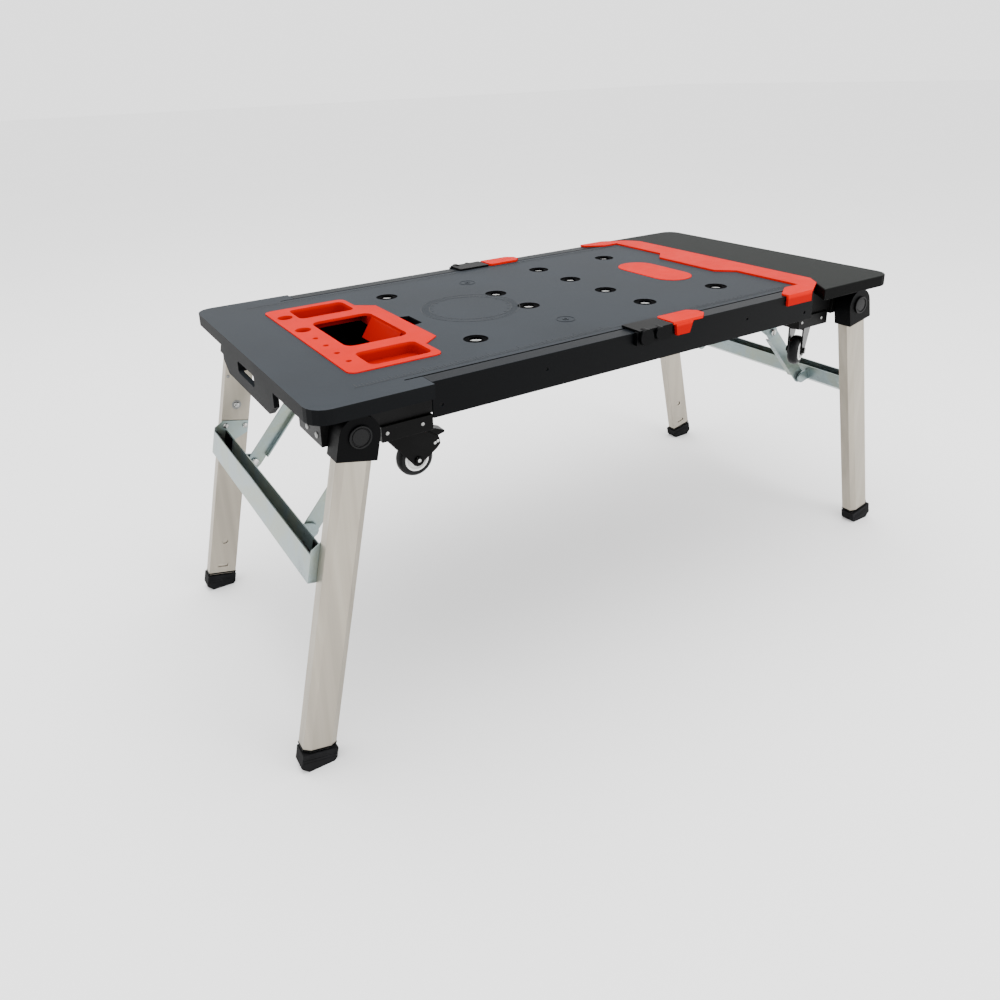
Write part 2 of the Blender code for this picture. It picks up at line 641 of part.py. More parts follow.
def build_frame_beam(name, sign):
    """Inverted channel along the deck, with a hinge head at each end and the upper stay lugs."""
    top = -PANEL_DEPTH - GAP
    end = PIVOT_X + 0.030
    near, far = sorted((sign * BEAM_INNER, sign * BEAM_OUTER))
    beam = add_object(name, boxes_mesh([((-end, near, -BEAM_BOTTOM), (end, far, top))]), DECK, "frame_black")
    hollow = PIVOT_X - HEAD_LENGTH / 2
    cut(beam, boxes_mesh([((-hollow, near + BEAM_WALL, -BEAM_BOTTOM - 0.01),
                           (hollow, far - BEAM_WALL, top - BEAM_WALL))]))
    head_near, head_far = sorted((sign * HEAD_INNER, sign * HEAD_OUTER))
    arm_near, arm_far = sorted((sign * LUG_Y, sign * (BEAM_INNER + BEAM_WALL / 2)))
    for end_sign in (-1, 1):
        head_x = sorted((end_sign * (PIVOT_X + 0.038), end_sign * (PIVOT_X + 0.038 - HEAD_LENGTH)))
        join(beam, boxes_mesh([((head_x[0], head_near, -HEAD_DROP), (head_x[1], head_far, top - GAP))]))
        cut(beam, boxes_mesh([((head_x[0] + HEAD_WALL, head_near + HEAD_WALL, -HEAD_DROP - 0.01),
                               (head_x[1] - HEAD_WALL, head_far - HEAD_WALL, top - HEAD_WALL))]))
        x = end_sign * STAY_HEAD_X
        join(beam, boxes_mesh([((x - 0.018, arm_near, top - BEAM_WALL), (x + 0.018, arm_far, top - GAP))]))
        lug = sorted((sign * LUG_Y, sign * (LUG_Y + LUG_SHEET)))
        plate = [(x - 0.016, top - GAP * 2), (x - 0.012, -STAY_HEAD_DROP - 0.004)]
        plate += arc((x, -STAY_HEAD_DROP), 0.012, 200, 340, 5)
        plate += [(x + 0.012, -STAY_HEAD_DROP - 0.004), (x + 0.016, top - GAP * 2)]
        del plate[-2], plate[1]
        join(beam, flat_mesh([plate], -lug[1], -lug[0], "side"))
        pin_end = sign * (UPPER_STAY_Y)
        join(beam, rods_mesh([((x, sign * (LUG_Y + LUG_SHEET / 2), -STAY_HEAD_DROP),
                               (x, pin_end, -STAY_HEAD_DROP), STAY_PIN)]))
        rod_hole = ((end_sign * PIVOT_X, sign * (HEAD_INNER - 0.02), -PIVOT_DROP),
                    (end_sign * PIVOT_X, sign * (BEAM_OUTER + 0.02), -PIVOT_DROP), ROD_RADIUS + GAP * 2)
        cut(beam, rods_mesh([rod_hole]))


def build_cross_rod(side, side_frame):
    """Rod that both knuckles of one end turn on, with a round cap at each end."""
    cap_face = LEG_OUTER + KNUCKLE_WALL + GAP
    centre = (-PIVOT_X, 0.0, -PIVOT_DROP)
    rod = rods_mesh([((centre[0], -cap_face - CAP_THICK / 2, centre[2]),
                      (centre[0], cap_face + CAP_THICK / 2, centre[2]), ROD_RADIUS)])
    made = add_object(side + "_cross_rod", rod, side_frame, "rod_steel")
    for sign in (-1, 1):
        join(made, rods_mesh([((centre[0], sign * cap_face, centre[2]),
                               (centre[0], sign * (cap_face + CAP_THICK), centre[2]), CAP_RADIUS)], 24))


def leg_outline(sign, inset=0.0):
    """Section of a leg tube: flat inside face, cut corners on the outside face."""
    half = LEG_WIDTH / 2 - inset
    inner, outer = LEG_INNER + inset, LEG_OUTER - inset
    cut_x, cut_y = LEG_CUT_X - inset * 0.7, LEG_CUT_Y - inset * 0.3
    outline = [(-half, inner), (half, inner), (half, outer - cut_y), (half - cut_x, outer),
               (-half + cut_x, outer), (-half, outer - cut_y)]
    return [(x, sign * y) for x, y in outline]


def button_hole(sign, drop, radius, depth):
    return ((0, sign * (LEG_INNER - 0.01), -drop), (0, sign * (LEG_INNER + depth), -drop), radius)


def build_leg(side, sign, pivot):
    """One leg of a folding pair: knuckle, outer tube, inner tube, foot and spring button."""
    name = corner_name(side, sign)
    near, far = sorted((sign * (LEG_INNER - KNUCKLE_WALL), sign * (LEG_OUTER + KNUCKLE_WALL)))
    skirt = [(-KNUCKLE_RADIUS, -KNUCKLE_SKIRT), (KNUCKLE_RADIUS, -KNUCKLE_SKIRT)]
    body = flat_mesh([skirt + arc((0, 0), KNUCKLE_RADIUS, 0, 180, 12)], -far, -near, "side")
    knuckle = add_object(name + "_knuckle", body, pivot, "black_plastic")
    cut(knuckle, flat_mesh([leg_outline(sign, -GAP)], -KNUCKLE_SKIRT - 0.01, -LEG_TOP + GAP))
    cut(knuckle, rods_mesh([((0, near - 0.01, 0), (0, far + 0.01, 0), ROD_RADIUS + ROD_PLAY)]))

    tube = flat_mesh([leg_outline(sign), leg_outline(sign, LEG_WALL)], -LEG_REACH, -LEG_TOP)
    outer = add_object(name + "_outer_leg", tube, pivot, "aluminium")
    holes = [button_hole(sign, drop, BUTTON_RADIUS + GAP, LEG_WALL * 2)
             for drop in (BUTTON_DROP, BUTTON_DROP + EXTENSION)]
    cut(outer, rods_mesh(holes))
    slot_low = -LEG_REACH + SLOT_RISE - SLOT_HEIGHT / 2
    slot_y = sorted((sign * (LEG_INNER - 0.005), sign * (LEG_INNER + LEG_WALL * 2)))
    cut(outer, boxes_mesh([((-SLOT_HALF, slot_y[0], slot_low), (SLOT_HALF, slot_y[1], slot_low + SLOT_HEIGHT))]))

    shell = LEG_WALL + INNER_GAP
    bottom = -LEG_REACH - INNER_SHOWS
    tube = flat_mesh([leg_outline(sign, shell), leg_outline(sign, shell + INNER_WALL)], bottom, -INNER_TOP)
    inner = add_object(name + "_inner_leg", tube, pivot, "inner_aluminium")
    cut(inner, rods_mesh([button_hole(sign, BUTTON_DROP, BUTTON_RADIUS + GAP, shell + INNER_WALL * 2)]))

    build_foot(name, sign, pivot, bottom)

    inside = sign * (LEG_INNER + LEG_WALL)
    button = rods_mesh([((0, inside, -BUTTON_DROP), (0, sign * (LEG_INNER - BUTTON_PROUD * 0.4), -BUTTON_DROP),
                         BUTTON_RADIUS)])
    made = add_object(name + "_spring_button", button, pivot, "button_steel")
    dome = bmesh.new()
    turn = Matrix.Rotation(math.radians(90 * sign), 4, "X")
    place = Matrix.Translation((0, sign * (LEG_INNER - BUTTON_PROUD * 0.7), -BUTTON_DROP))
    bmesh.ops.create_cone(dome, cap_ends=True, segments=ROUND, radius1=BUTTON_RADIUS, radius2=BUTTON_RADIUS * 0.55,
                          depth=BUTTON_PROUD * 0.62, matrix=place @ turn)
    mesh = bpy.data.meshes.new("dome")
    dome.to_mesh(mesh)
    dome.free()
    join(made, mesh)


def floor_line(x):
    """Height of the floor in the leg's own coordinates, at x across the leg."""
    drop = TABLE_HEIGHT - PIVOT_DROP
    return (-drop + x * math.sin(SPLAY)) / math.cos(SPLAY)


def build_foot(name, sign, pivot, top):
    """Rubber foot: a wedge cut level with the floor, with a plug up the inner tube."""
    half = FOOT_WIDTH / 2
    left_cut, right_cut = -half + 0.0115, half - 0.0035
    side = [(-half, top - GAP), (-half, floor_line(-half) + 0.010), (left_cut, floor_line(left_cut)),
            (right_cut, floor_line(right_cut)), (half, floor_line(half) + 0.004), (half, top - GAP)]
    near, far = sorted((sign * (LEG_INNER - 0.001), sign * (LEG_OUTER + 0.001)))
    foot = add_object(name + "_foot", flat_mesh([side], -far, -near, "side"), pivot, "foot_rubber")
    plug = leg_outline(sign, LEG_WALL + INNER_GAP + INNER_WALL + GAP)
    join(foot, flat_mesh([plug], top - 0.002, top + FOOT_PLUG))


def build_channel(side, pivot):
    """Cross channel, open at the top, with end flanges riveted to the legs and two stay lugs."""
    top, bottom = -CHANNEL_TOP, -CHANNEL_TOP - CHANNEL_DEPTH
    shelf = -CHANNEL_TOP - CHANNEL_INNER_DEPTH
    sheet = CHANNEL_SHEET
    chamfer = CHANNEL_DEPTH - CHANNEL_INNER_DEPTH
    out, inn = -CHANNEL_OUTER, -CHANNEL_INNER
    section = [(out, top), (out, bottom), (inn - chamfer, bottom), (inn, shelf), (inn, top),
               (inn - sheet, top), (inn - sheet, shelf + sheet * 0.4), (inn - chamfer - sheet * 0.4, bottom + sheet),
               (out + sheet, bottom + sheet), (out + sheet, top)]
    reach = LEG_INNER - GAP
    channel = add_object(side + "_cross_channel", flat_mesh([section], -reach, reach, "side"), pivot, "zinc")
    pin_y = LUG_Y + LUG_SHEET / 2
    for sign in (-1, 1):
        plate = [(-CHANNEL_OUTER + GAP, -FLANGE_TOP - 0.012), (-CHANNEL_OUTER * 0.62, -FLANGE_TOP),
                 (FLANGE_SIDE, -FLANGE_TOP), (FLANGE_SIDE, -RIVET_DROP - 0.012), (inn, shelf),
                 (inn - chamfer, bottom + GAP), (-CHANNEL_OUTER + GAP, bottom + GAP)]
        near, far = sorted((sign * (reach - sheet), sign * (reach - GAP)))
        join(channel, flat_mesh([plate], -far, -near, "side"))
        heads = [((x, sign * (reach - sheet / 2), -RIVET_DROP), (x, sign * (reach - sheet - 0.0018), -RIVET_DROP),
                  RIVET_RADIUS) for x in (-0.0165, 0.0175)]
        join(channel, rods_mesh(heads, 12))
        lug = [(inn - sheet / 2, -STAY_FOOT_DROP + 0.012)]
        lug += arc((STAY_FOOT_X, -STAY_FOOT_DROP), 0.011, 90, -90, 6)
        lug += [(inn - sheet / 2, -STAY_FOOT_DROP - 0.010)]
        near, far = sorted((sign * LUG_Y, sign * (LUG_Y + LUG_SHEET)))
        join(channel, flat_mesh([lug], -far, -near, "side"))
        head = sign * (STAY_Y - GAP * 2)
        join(channel, rods_mesh([((STAY_FOOT_X, sign * pin_y, -STAY_FOOT_DROP),
                                  (STAY_FOOT_X, head - sign * 0.001, -STAY_FOOT_DROP), STAY_PIN)]))
        join(channel, rods_mesh([((STAY_FOOT_X, head, -STAY_FOOT_DROP),
                                  (STAY_FOOT_X, head - sign * 0.0025, -STAY_FOOT_DROP), STAY_PIN * 1.7)], 12))


def stay_points():
    """Lower pivot, knee and upper pivot of a stay, with the legs open, from the deck's top."""
    foot = Vector((STAY_FOOT_X, -STAY_FOOT_DROP))
    low = Vector((-PIVOT_X + foot.x * math.cos(SPLAY) + foot.y * math.sin(SPLAY),
                  -PIVOT_DROP - foot.x * math.sin(SPLAY) + foot.y * math.cos(SPLAY)))
    high = Vector((STAY_HEAD_X, -STAY_HEAD_DROP))
    span = (high - low).length
    towards = (high - low) / span
    along = (LOWER_STAY ** 2 - UPPER_STAY ** 2 + span ** 2) / (2 * span)
    rise = math.sqrt(LOWER_STAY ** 2 - along ** 2)
    knee = low + towards * along + Vector((-towards.y, towards.x)) * rise
    return low, knee, high


def build_stays(side, side_frame, leg_pivot):
    low, knee, high = stay_points()
    rise = math.atan2(knee.y - low.y, knee.x - low.x)
    fold = math.atan2(knee.y - high.y, knee.x - high.x)
    for sign in (-1, 1):
        name = corner_name(side, sign)
        # Lower link: along +X of its own pivot, with a folded lip on its under edge
        pivot = empty(name + "_lower_stay_pivot", (STAY_FOOT_X, 0, -STAY_FOOT_DROP), (0, -(rise + SPLAY), 0),
                      leg_pivot)
        near, far = sorted((sign * STAY_Y, sign * (STAY_Y + STAY_SHEET)))
        strip = flat_mesh([link_outline(LOWER_STAY, STAY_HALF_WIDTH)], -far, -near, "side")
        lower = add_object(name + "_lower_stay", strip, pivot, "zinc")
        lip = sorted((sign * (STAY_Y - STAY_LIP), sign * (STAY_Y + STAY_SHEET / 2)))
        join(lower, boxes_mesh([((0.018, lip[0], -STAY_HALF_WIDTH), (LOWER_STAY - 0.014, lip[1],
                                                                     -STAY_HALF_WIDTH + STAY_SHEET))]))
        cut(lower, rods_mesh([((0, near - 0.01, 0), (0, far + 0.01, 0), STAY_PIN + STAY_PLAY)]))
        rivet = sign * (STAY_Y - 0.0025)
        join(lower, rods_mesh([((LOWER_STAY, sign * (STAY_Y + STAY_SHEET / 2), 0), (LOWER_STAY, rivet, 0),
                                STAY_PIN * 1.6)], 12))
        # Upper link, from the lug under the deck down to the knee
        pivot = empty(name + "_upper_stay_pivot", (high.x, 0, high.y), (0, -fold, 0), side_frame)
        near, far = sorted((sign * UPPER_STAY_Y, sign * (UPPER_STAY_Y + STAY_SHEET)))
        strip = flat_mesh([link_outline(UPPER_STAY, STAY_HALF_WIDTH)], -far, -near, "side")
        upper = add_object(name + "_upper_stay", strip, pivot, "zinc")
        cut(upper, rods_mesh([((0, near - 0.01, 0), (0, far + 0.01, 0), STAY_PIN + STAY_PLAY)]))
        rivet = sign * (UPPER_STAY_Y + STAY_SHEET + 0.0025)
        join(upper, rods_mesh([((UPPER_STAY, sign * (UPPER_STAY_Y + STAY_SHEET / 2), 0),
                                (UPPER_STAY, rivet, 0), STAY_PIN * 1.6)], 12))


def fork_outline(braked):
    """Side view of a fork cheek: from the top plate down to the axle."""
    top = -BLOCK_BOTTOM - FORK_GAP * 2.6
    axle = (CASTER_TRAIL, -AXLE_DROP)
    outline = [(-FORK_NOSE, top)]
    outline += arc(axle, 0.0095, 200, 340, 5)
    if braked:
        outline += [(0.048, -0.1180), (0.0535, -0.1120), (0.052, -0.1020)]
    outline += [(0.029, top)]
    return outline


def build_caster(side, sign, side_frame):
    name = corner_name(side, sign)
    block_x = (CASTER_X - BLOCK_LENGTH / 2, CASTER_X + BLOCK_LENGTH / 2)
    y = sign * CASTER_Y
    block_y = (y - BLOCK_WIDTH / 2, y + BLOCK_WIDTH / 2)
    top = -BEAM_BOTTOM - GAP
    mount = add_object(name + "_caster_mount", boxes_mesh([((block_x[0], block_y[0], -BLOCK_BOTTOM),
                                                            (block_x[1], block_y[1], top))]),
                       side_frame, "caster_black")
    race_bottom = -BLOCK_BOTTOM - FORK_GAP * 1.2
    plate_top = race_bottom - GAP
    plate_bottom = plate_top - FORK_SHEET
    join(mount, rods_mesh([((CASTER_X, y, -BLOCK_BOTTOM + 0.002), (CASTER_X, y, race_bottom), RACE_RADIUS)], 20))
    join(mount, rods_mesh([((CASTER_X, y, -BLOCK_BOTTOM + 0.002), (CASTER_X, y, plate_bottom - 0.002),
                            KINGPIN_RADIUS)]))
    join(mount, rods_mesh([((CASTER_X, y, plate_bottom - GAP), (CASTER_X, y, plate_bottom - 0.003),
                            KINGPIN_RADIUS * 1.6)]))

    swivel = empty(name + "_caster_swivel", (CASTER_X, y, 0),
                   (0, 0, math.radians(SWIVEL_REST[name])), side_frame)
    half = WHEEL_WIDTH / 2 + FORK_GAP
    plate = rounded_box(-FORK_NOSE, 0.029, -half - FORK_SHEET, half + FORK_SHEET, 0.004, 3)
    fork = add_object(name + "_caster_fork", flat_mesh([plate], plate_bottom, plate_top), swivel, "caster_black")
    for way in (-1, 1):
        near, far = sorted((way * half, way * (half + FORK_SHEET)))
        join(fork, flat_mesh([fork_outline(name in BRAKED)], -far, -near, "side"))
    cut(fork, rods_mesh([((0, 0, -0.2), (0, 0, 0), KINGPIN_RADIUS + GAP)]))
    nut = half + FORK_SHEET + 0.003
    join(fork, rods_mesh([((CASTER_TRAIL, -nut + 0.001, -AXLE_DROP), (CASTER_TRAIL, nut - 0.001, -AXLE_DROP),
                           AXLE_RADIUS)]))
    for way in (-1, 1):
        join(fork, rods_mesh([((CASTER_TRAIL, way * (half + FORK_SHEET / 2), -AXLE_DROP),
                               (CASTER_TRAIL, way * nut, -AXLE_DROP), AXLE_RADIUS * 1.9)], 6))
    build_wheel(name, swivel)
    if name in BRAKED:
        build_pedal(name, swivel, half)


def build_wheel(name, swivel):
    """Tyre and hub turned as one profile about the axle."""
    axle = empty(name + "_axle", (CASTER_TRAIL, 0, -AXLE_DROP), (math.radians(-90), 0, 0), swivel)
    half = WHEEL_WIDTH / 2
    bore = AXLE_RADIUS + GAP * 2
    hub = WHEEL_RADIUS * 0.62
    profile = [(bore, half), (hub, half), (hub * 1.04, half * 0.80), (WHEEL_RADIUS * 0.88, half * 0.86),
               (WHEEL_RADIUS, half * 0.45), (WHEEL_RADIUS, -half * 0.45), (WHEEL_RADIUS * 0.88, -half * 0.86),
               (hub * 1.04, -half * 0.80), (hub, -half), (bore, -half)]
    mesh = bpy.data.meshes.new("wheel")
    shape = bmesh.new()
    ring = [shape.verts.new((x, 0, z)) for x, z in profile]
    for index, vertex in enumerate(ring):
        shape.edges.new((vertex, ring[(index + 1) % len(ring)]))
    shape.to_mesh(mesh)
    shape.free()
    wheel = add_object(name + "_caster_wheel", mesh, axle, "tyre_black")
    turn = wheel.modifiers.new("turn", "SCREW")
    turn.steps = 24
    turn.render_steps = 24
    turn.use_merge_vertices = True
    turn.merge_threshold = 0.00001
    turn.use_normal_calculate = True


def build_pedal(name, swivel, half):
    pivot = empty(name + "_pedal_pivot", (PEDAL_X, 0, -PEDAL_DROP), (0, 0, 0), swivel)
    outline = [(0.0345, -0.0915), (0.0460, -0.0890), (0.0630, -0.0960), (0.0620, -0.0990), (0.0530, -0.1010),
               (0.0525, -0.1120), (0.0455, -0.1130), (0.0425, -0.1040), (0.0365, -0.0980)]
    outline = [(x - PEDAL_X, z + PEDAL_DROP) for x, z in outline]
    side = half - GAP * 2
    add_object(name + "_brake_pedal", flat_mesh([outline], -side, side, "side"), pivot, "caster_black")


def build_end(side, turn):
    side_frame = empty(side + "_end", (0, 0, TABLE_HEIGHT), (0, 0, turn))
    leg_pivot = empty(side + "_leg_pivot", (-PIVOT_X, 0, -PIVOT_DROP), (0, SPLAY, 0), side_frame)
    build_cross_rod(side, side_frame)
    build_channel(side, leg_pivot)
    build_stays(side, side_frame, leg_pivot)
    for sign in (-1, 1):
        build_leg(side, sign, leg_pivot)
        build_caster(side, sign, side_frame)


clear_scene()
PARTS = new_collection("work_platform_bench")
CUTTERS = new_collection("cutters")
DECK = empty("deck_top", (0, 0, TABLE_HEIGHT))
build_deck_panel()
build_right_panel()
build_cross_trim()
build_oval_cover()
build_tray()
build_tool_well()
for rail_side, rail_sign in (("front", -1), ("back", 1)):
    build_rail(rail_side + "_rail", rail_sign)
    build_rail_bracket(rail_side + "_rail_bracket", rail_sign)
    build_stop(rail_side + "_sliding_stop", rail_sign)
    build_frame_beam(rail_side + "_frame_beam", rail_sign)
build_end("left", 0.0)
build_end("right", math.pi)
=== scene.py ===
"""Looks for a folding work platform bench, in metres, laid out as an add-on.

Each operator finishes one piece, or one group of like pieces, of the bench's frame.
Left is -X and front is -Y. The legs of an end lean outwards, so what sits on a leg is
built in the leg's own coordinates and then turned with it.
"""
import json
import math

import bmesh
import bpy
from bpy.props import FloatProperty, FloatVectorProperty, IntProperty, PointerProperty
from mathutils import Matrix, Vector

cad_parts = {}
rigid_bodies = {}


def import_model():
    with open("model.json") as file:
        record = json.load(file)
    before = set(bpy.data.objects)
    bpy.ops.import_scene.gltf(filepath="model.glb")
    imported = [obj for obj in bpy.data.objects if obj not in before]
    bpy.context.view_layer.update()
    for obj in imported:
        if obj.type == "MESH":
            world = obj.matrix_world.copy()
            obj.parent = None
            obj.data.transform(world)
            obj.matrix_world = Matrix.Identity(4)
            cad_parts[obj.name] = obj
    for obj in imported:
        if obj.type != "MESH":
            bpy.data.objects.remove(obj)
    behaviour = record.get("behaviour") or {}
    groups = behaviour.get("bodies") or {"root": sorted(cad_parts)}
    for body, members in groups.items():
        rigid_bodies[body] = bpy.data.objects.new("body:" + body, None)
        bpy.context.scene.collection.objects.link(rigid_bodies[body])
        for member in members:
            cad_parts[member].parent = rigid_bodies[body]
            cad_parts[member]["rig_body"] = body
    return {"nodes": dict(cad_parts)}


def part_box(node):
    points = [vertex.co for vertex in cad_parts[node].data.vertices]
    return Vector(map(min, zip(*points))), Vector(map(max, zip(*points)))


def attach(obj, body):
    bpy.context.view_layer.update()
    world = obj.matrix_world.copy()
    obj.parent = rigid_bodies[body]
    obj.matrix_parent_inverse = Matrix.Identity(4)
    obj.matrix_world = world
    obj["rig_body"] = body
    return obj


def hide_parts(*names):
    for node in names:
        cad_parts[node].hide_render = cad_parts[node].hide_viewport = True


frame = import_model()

bl_info = {
    "name": "Work Platform Bench",
    "version": (1, 0, 0),
    "blender": (4, 5, 0),
    "location": "View3D > Sidebar > Bench",
    "description": "Finishes a folding work platform bench with its mouldings, tubes, castings and stage",
    "category": "Object",
}

TOP = 0.520
SPLAY = math.radians(12.0)
PIVOT = Vector((-0.486, 0.0, TOP - 0.050))
LEG_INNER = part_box("left_back_outer_leg")[0].y
LEG_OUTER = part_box("left_back_outer_leg")[1].y
SIDES = ("left", "right")
CORNERS = ("left_front", "left_back", "right_front", "right_back")
DOG_CELLS = ((0, 1.5), (0, -1.5), (1, 0.5), (1, -0.5), (2, 1.5), (2, 0.5), (2, -0.5), (2, -1.5),
             (3, 1.5), (3, -1.5))
DOG_GRID = (-0.247, 0.1637, 0.100)
SWIVELS = {"left_front": 0.0, "left_back": 172.0, "right_front": 204.0, "right_back": 20.0}
KNEE = Vector((-0.4240164, 0.0, TOP - 0.1224442))
BUTTON_DROP = 0.123
RULER_START = -0.470
RULER_EDGE = 0.2285
CUP_X = -0.440
PROTRACTOR = (-0.166, 0.0)
BIG_BOSS = (-0.033, TOP - 0.0070, 0.0125)
SMALL_BOSS = (-0.006, TOP - 0.0055, 0.0100)
CASTER = Vector((0.405, 0.208, 0.0))
WHEEL_DROP = 0.128
TRAIL = 0.0185


def body_of_node(node):
    return frame["nodes"][node]["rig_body"]


# Materials

def new_material(name, colour, roughness, metallic=0.0):
    made = bpy.data.materials.get(name) or bpy.data.materials.new(name)
    made.use_nodes = True
    made.node_tree.nodes.clear()
    output = made.node_tree.nodes.new("ShaderNodeOutputMaterial")
    shader = made.node_tree.nodes.new("ShaderNodeBsdfPrincipled")
    made.node_tree.links.new(shader.outputs["BSDF"], output.inputs["Surface"])
    shader.inputs["Base Color"].default_value = (*colour, 1.0)
    shader.inputs["Roughness"].default_value = roughness
    shader.inputs["Metallic"].default_value = metallic
    return made, shader


class Nodes:
    """Short ways to add the nodes that the finishes share."""

    def __init__(self, made):
        self.tree = made.node_tree
        self.place = self.tree.nodes.new("ShaderNodeTexCoord").outputs["Object"]

    def link(self, source, target):
        self.tree.links.new(source, target)

    def mapped(self, scale=(1, 1, 1), turn=(0, 0, 0)):
        node = self.tree.nodes.new("ShaderNodeMapping")
        node.inputs["Scale"].default_value = scale
        node.inputs["Rotation"].default_value = turn
        self.link(self.place, node.inputs["Vector"])
        return node.outputs["Vector"]

    def noise(self, scale, detail=3.0, vector=None, distortion=0.0):
        node = self.tree.nodes.new("ShaderNodeTexNoise")
        node.inputs["Scale"].default_value = scale
        node.inputs["Detail"].default_value = detail
        node.inputs["Distortion"].default_value = distortion
        self.link(vector or self.place, node.inputs["Vector"])
        return node.outputs["Fac"]

    def cells(self, scale, vector=None):
        node = self.tree.nodes.new("ShaderNodeTexVoronoi")
        node.inputs["Scale"].default_value = scale
        self.link(vector or self.place, node.inputs["Vector"])
        return node

    def ramp(self, value, stops):
        node = self.tree.nodes.new("ShaderNodeValToRGB")
        while len(node.color_ramp.elements) < len(stops):
            node.color_ramp.elements.new(0.5)
        for element, (where, colour) in zip(node.color_ramp.elements, stops):
            element.position = where
            element.color = (*colour, 1.0) if len(colour) == 3 else colour
        self.link(value, node.inputs["Fac"])
        return node.outputs["Color"]

    def remap(self, value, low, high, start=0.0, end=1.0):
        node = self.tree.nodes.new("ShaderNodeMapRange")
        node.inputs["From Min"].default_value = start
        node.inputs["From Max"].default_value = end
        node.inputs["To Min"].default_value = low
        node.inputs["To Max"].default_value = high
        self.link(value, node.inputs["Value"])
        return node.outputs["Result"]

    def mix(self, share, first, second, blend="MIX"):
        node = self.tree.nodes.new("ShaderNodeMix")
        node.data_type = "RGBA"
        node.blend_type = blend
        self.link(share, node.inputs["Factor"])
        for source, socket in ((first, node.inputs[6]), (second, node.inputs[7])):
            if isinstance(source, bpy.types.NodeSocket):
                self.link(source, socket)
            else:
                socket.default_value = (*source, 1.0)
        return node.outputs[2]

    def maths(self, operation, first, second):
        node = self.tree.nodes.new("ShaderNodeMath")
        node.operation = operation
        for source, socket in ((first, node.inputs[0]), (second, node.inputs[1])):
            if isinstance(source, bpy.types.NodeSocket):
                self.link(source, socket)
            else:
                socket.default_value = source
        return node.outputs["Value"]

    def upward(self):
        """How far a surface faces up."""
        node = self.tree.nodes.new("ShaderNodeSeparateXYZ")
        self.link(self.tree.nodes.new("ShaderNodeNewGeometry").outputs["Normal"], node.inputs["Vector"])
        return node.outputs["Z"]

    def height(self):
        node = self.tree.nodes.new("ShaderNodeSeparateXYZ")
        self.link(self.place, node.inputs["Vector"])
        return node.outputs["Z"]

    def bump(self, shader, height, distance, strength=1.0, before=None):
        node = self.tree.nodes.new("ShaderNodeBump")
        node.inputs["Strength"].default_value = strength
        node.inputs["Distance"].default_value = distance
        self.link(height, node.inputs["Height"])
        if before:
            self.link(before, node.inputs["Normal"])
        self.link(node.outputs["Normal"], shader.inputs["Normal"])
        return node.outputs["Normal"]


def shade(colour, by):
    return tuple(min(1.0, channel * by) for channel in colour)


def moulded_plastic(name, colour, roughness=0.5, grain=0.00010, scuffs=0.5, painted_flank_shade=1.0, sheen=0.25):
    """Spark-eroded mould finish: a fine pebble, cloudy tone and faint handling scuffs, with painted
    shade on the flanks: faces that turn away from up are darkened, so the top reads as if lit from above."""
    made, shader = new_material(name, colour, roughness)
    n = Nodes(made)
    # Painted shade: faces turned away from up fall to the flank factor times their colour, as if lit only
    # from above.
    upward = n.remap(n.upward(), painted_flank_shade, 1.0, 0.35, 0.85)
    pebble = n.cells(1100).outputs["Distance"]
    cloud = n.noise(7.0, 5.0)
    streak = n.noise(26.0, 6.0, n.mapped((1.0, 9.0, 1.0), (0, 0, 0.5)), 0.6)
    tone = n.ramp(cloud, ((0.30, shade(colour, 0.86)), (0.70, shade(colour, 1.15))))
    scuff = n.remap(streak, 0.0, scuffs, 0.62, 0.80)
    top = n.mix(scuff, tone, shade(colour, 1.9))
    n.link(n.mix(upward, (0.0, 0.0, 0.0), top), shader.inputs["Base Color"])
    rough = n.maths("ADD", n.remap(cloud, roughness - 0.05, roughness + 0.07), n.remap(pebble, -0.03, 0.03))
    n.link(rough, shader.inputs["Roughness"])
    first = n.bump(shader, pebble, grain, 0.55)
    n.bump(shader, n.noise(160.0, 2.0), grain * 1.5, 0.3, first)
    shader.inputs["Specular IOR Level"].default_value = sheen
    return made


def orange_moulding(name, colour, recess_shade, level):
    """Satin orange plastic, with painted shade below the given height that turns its recesses a deeper
    orange.
    """
    made, shader = new_material(name, colour, 0.38)
    n = Nodes(made)
    # Painted shade: below the given height, in cups, pockets and the window, the colour fades to the recess
    # colour as if in shadow.
    recess_shade_mask = n.remap(n.height(), 1.0, 0.0, level - 0.0050, level - 0.0012)
    cloud = n.noise(14.0, 4.0)
    tone = n.ramp(cloud, ((0.32, shade(colour, 0.93)), (0.70, shade(colour, 1.05))))
    n.link(n.mix(recess_shade_mask, tone, recess_shade), shader.inputs["Base Color"])
    n.link(n.remap(n.noise(60.0, 4.0), 0.32, 0.46), shader.inputs["Roughness"])
    first = n.bump(shader, n.cells(1500).outputs["Distance"], 0.00006, 0.4)
    n.bump(shader, n.noise(90.0), 0.00012, 0.25, first)
    shader.inputs["Specular IOR Level"].default_value = 0.01
    return made


def extruded_aluminium(name, colour, lean, roughness=0.36):
    """Satin anodised tube with die lines along its length, and a few rubbed patches."""
    made, shader = new_material(name, colour, roughness, 1.0)
    n = Nodes(made)
    lines = n.noise(1.0, 6.0, n.mapped((900.0, 900.0, 3.0), (0, -lean, 0)))
    broad = n.noise(1.0, 3.0, n.mapped((70.0, 70.0, 2.0), (0, -lean, 0)))
    cloud = n.noise(9.0, 4.0)
    tone = n.ramp(broad, ((0.30, shade(colour, 0.88)), (0.72, shade(colour, 1.08))))
    rubbed = n.remap(cloud, 0.0, 0.35, 0.56, 0.70)
    n.link(n.mix(rubbed, tone, shade(colour, 1.15)), shader.inputs["Base Color"])
    n.link(n.maths("ADD", n.remap(lines, roughness - 0.06, roughness + 0.08), n.remap(cloud, -0.03, 0.05)),
           shader.inputs["Roughness"])
    n.bump(shader, lines, 0.00004, 0.5)
    shader.inputs["Anisotropic"].default_value = 0.35
    return made


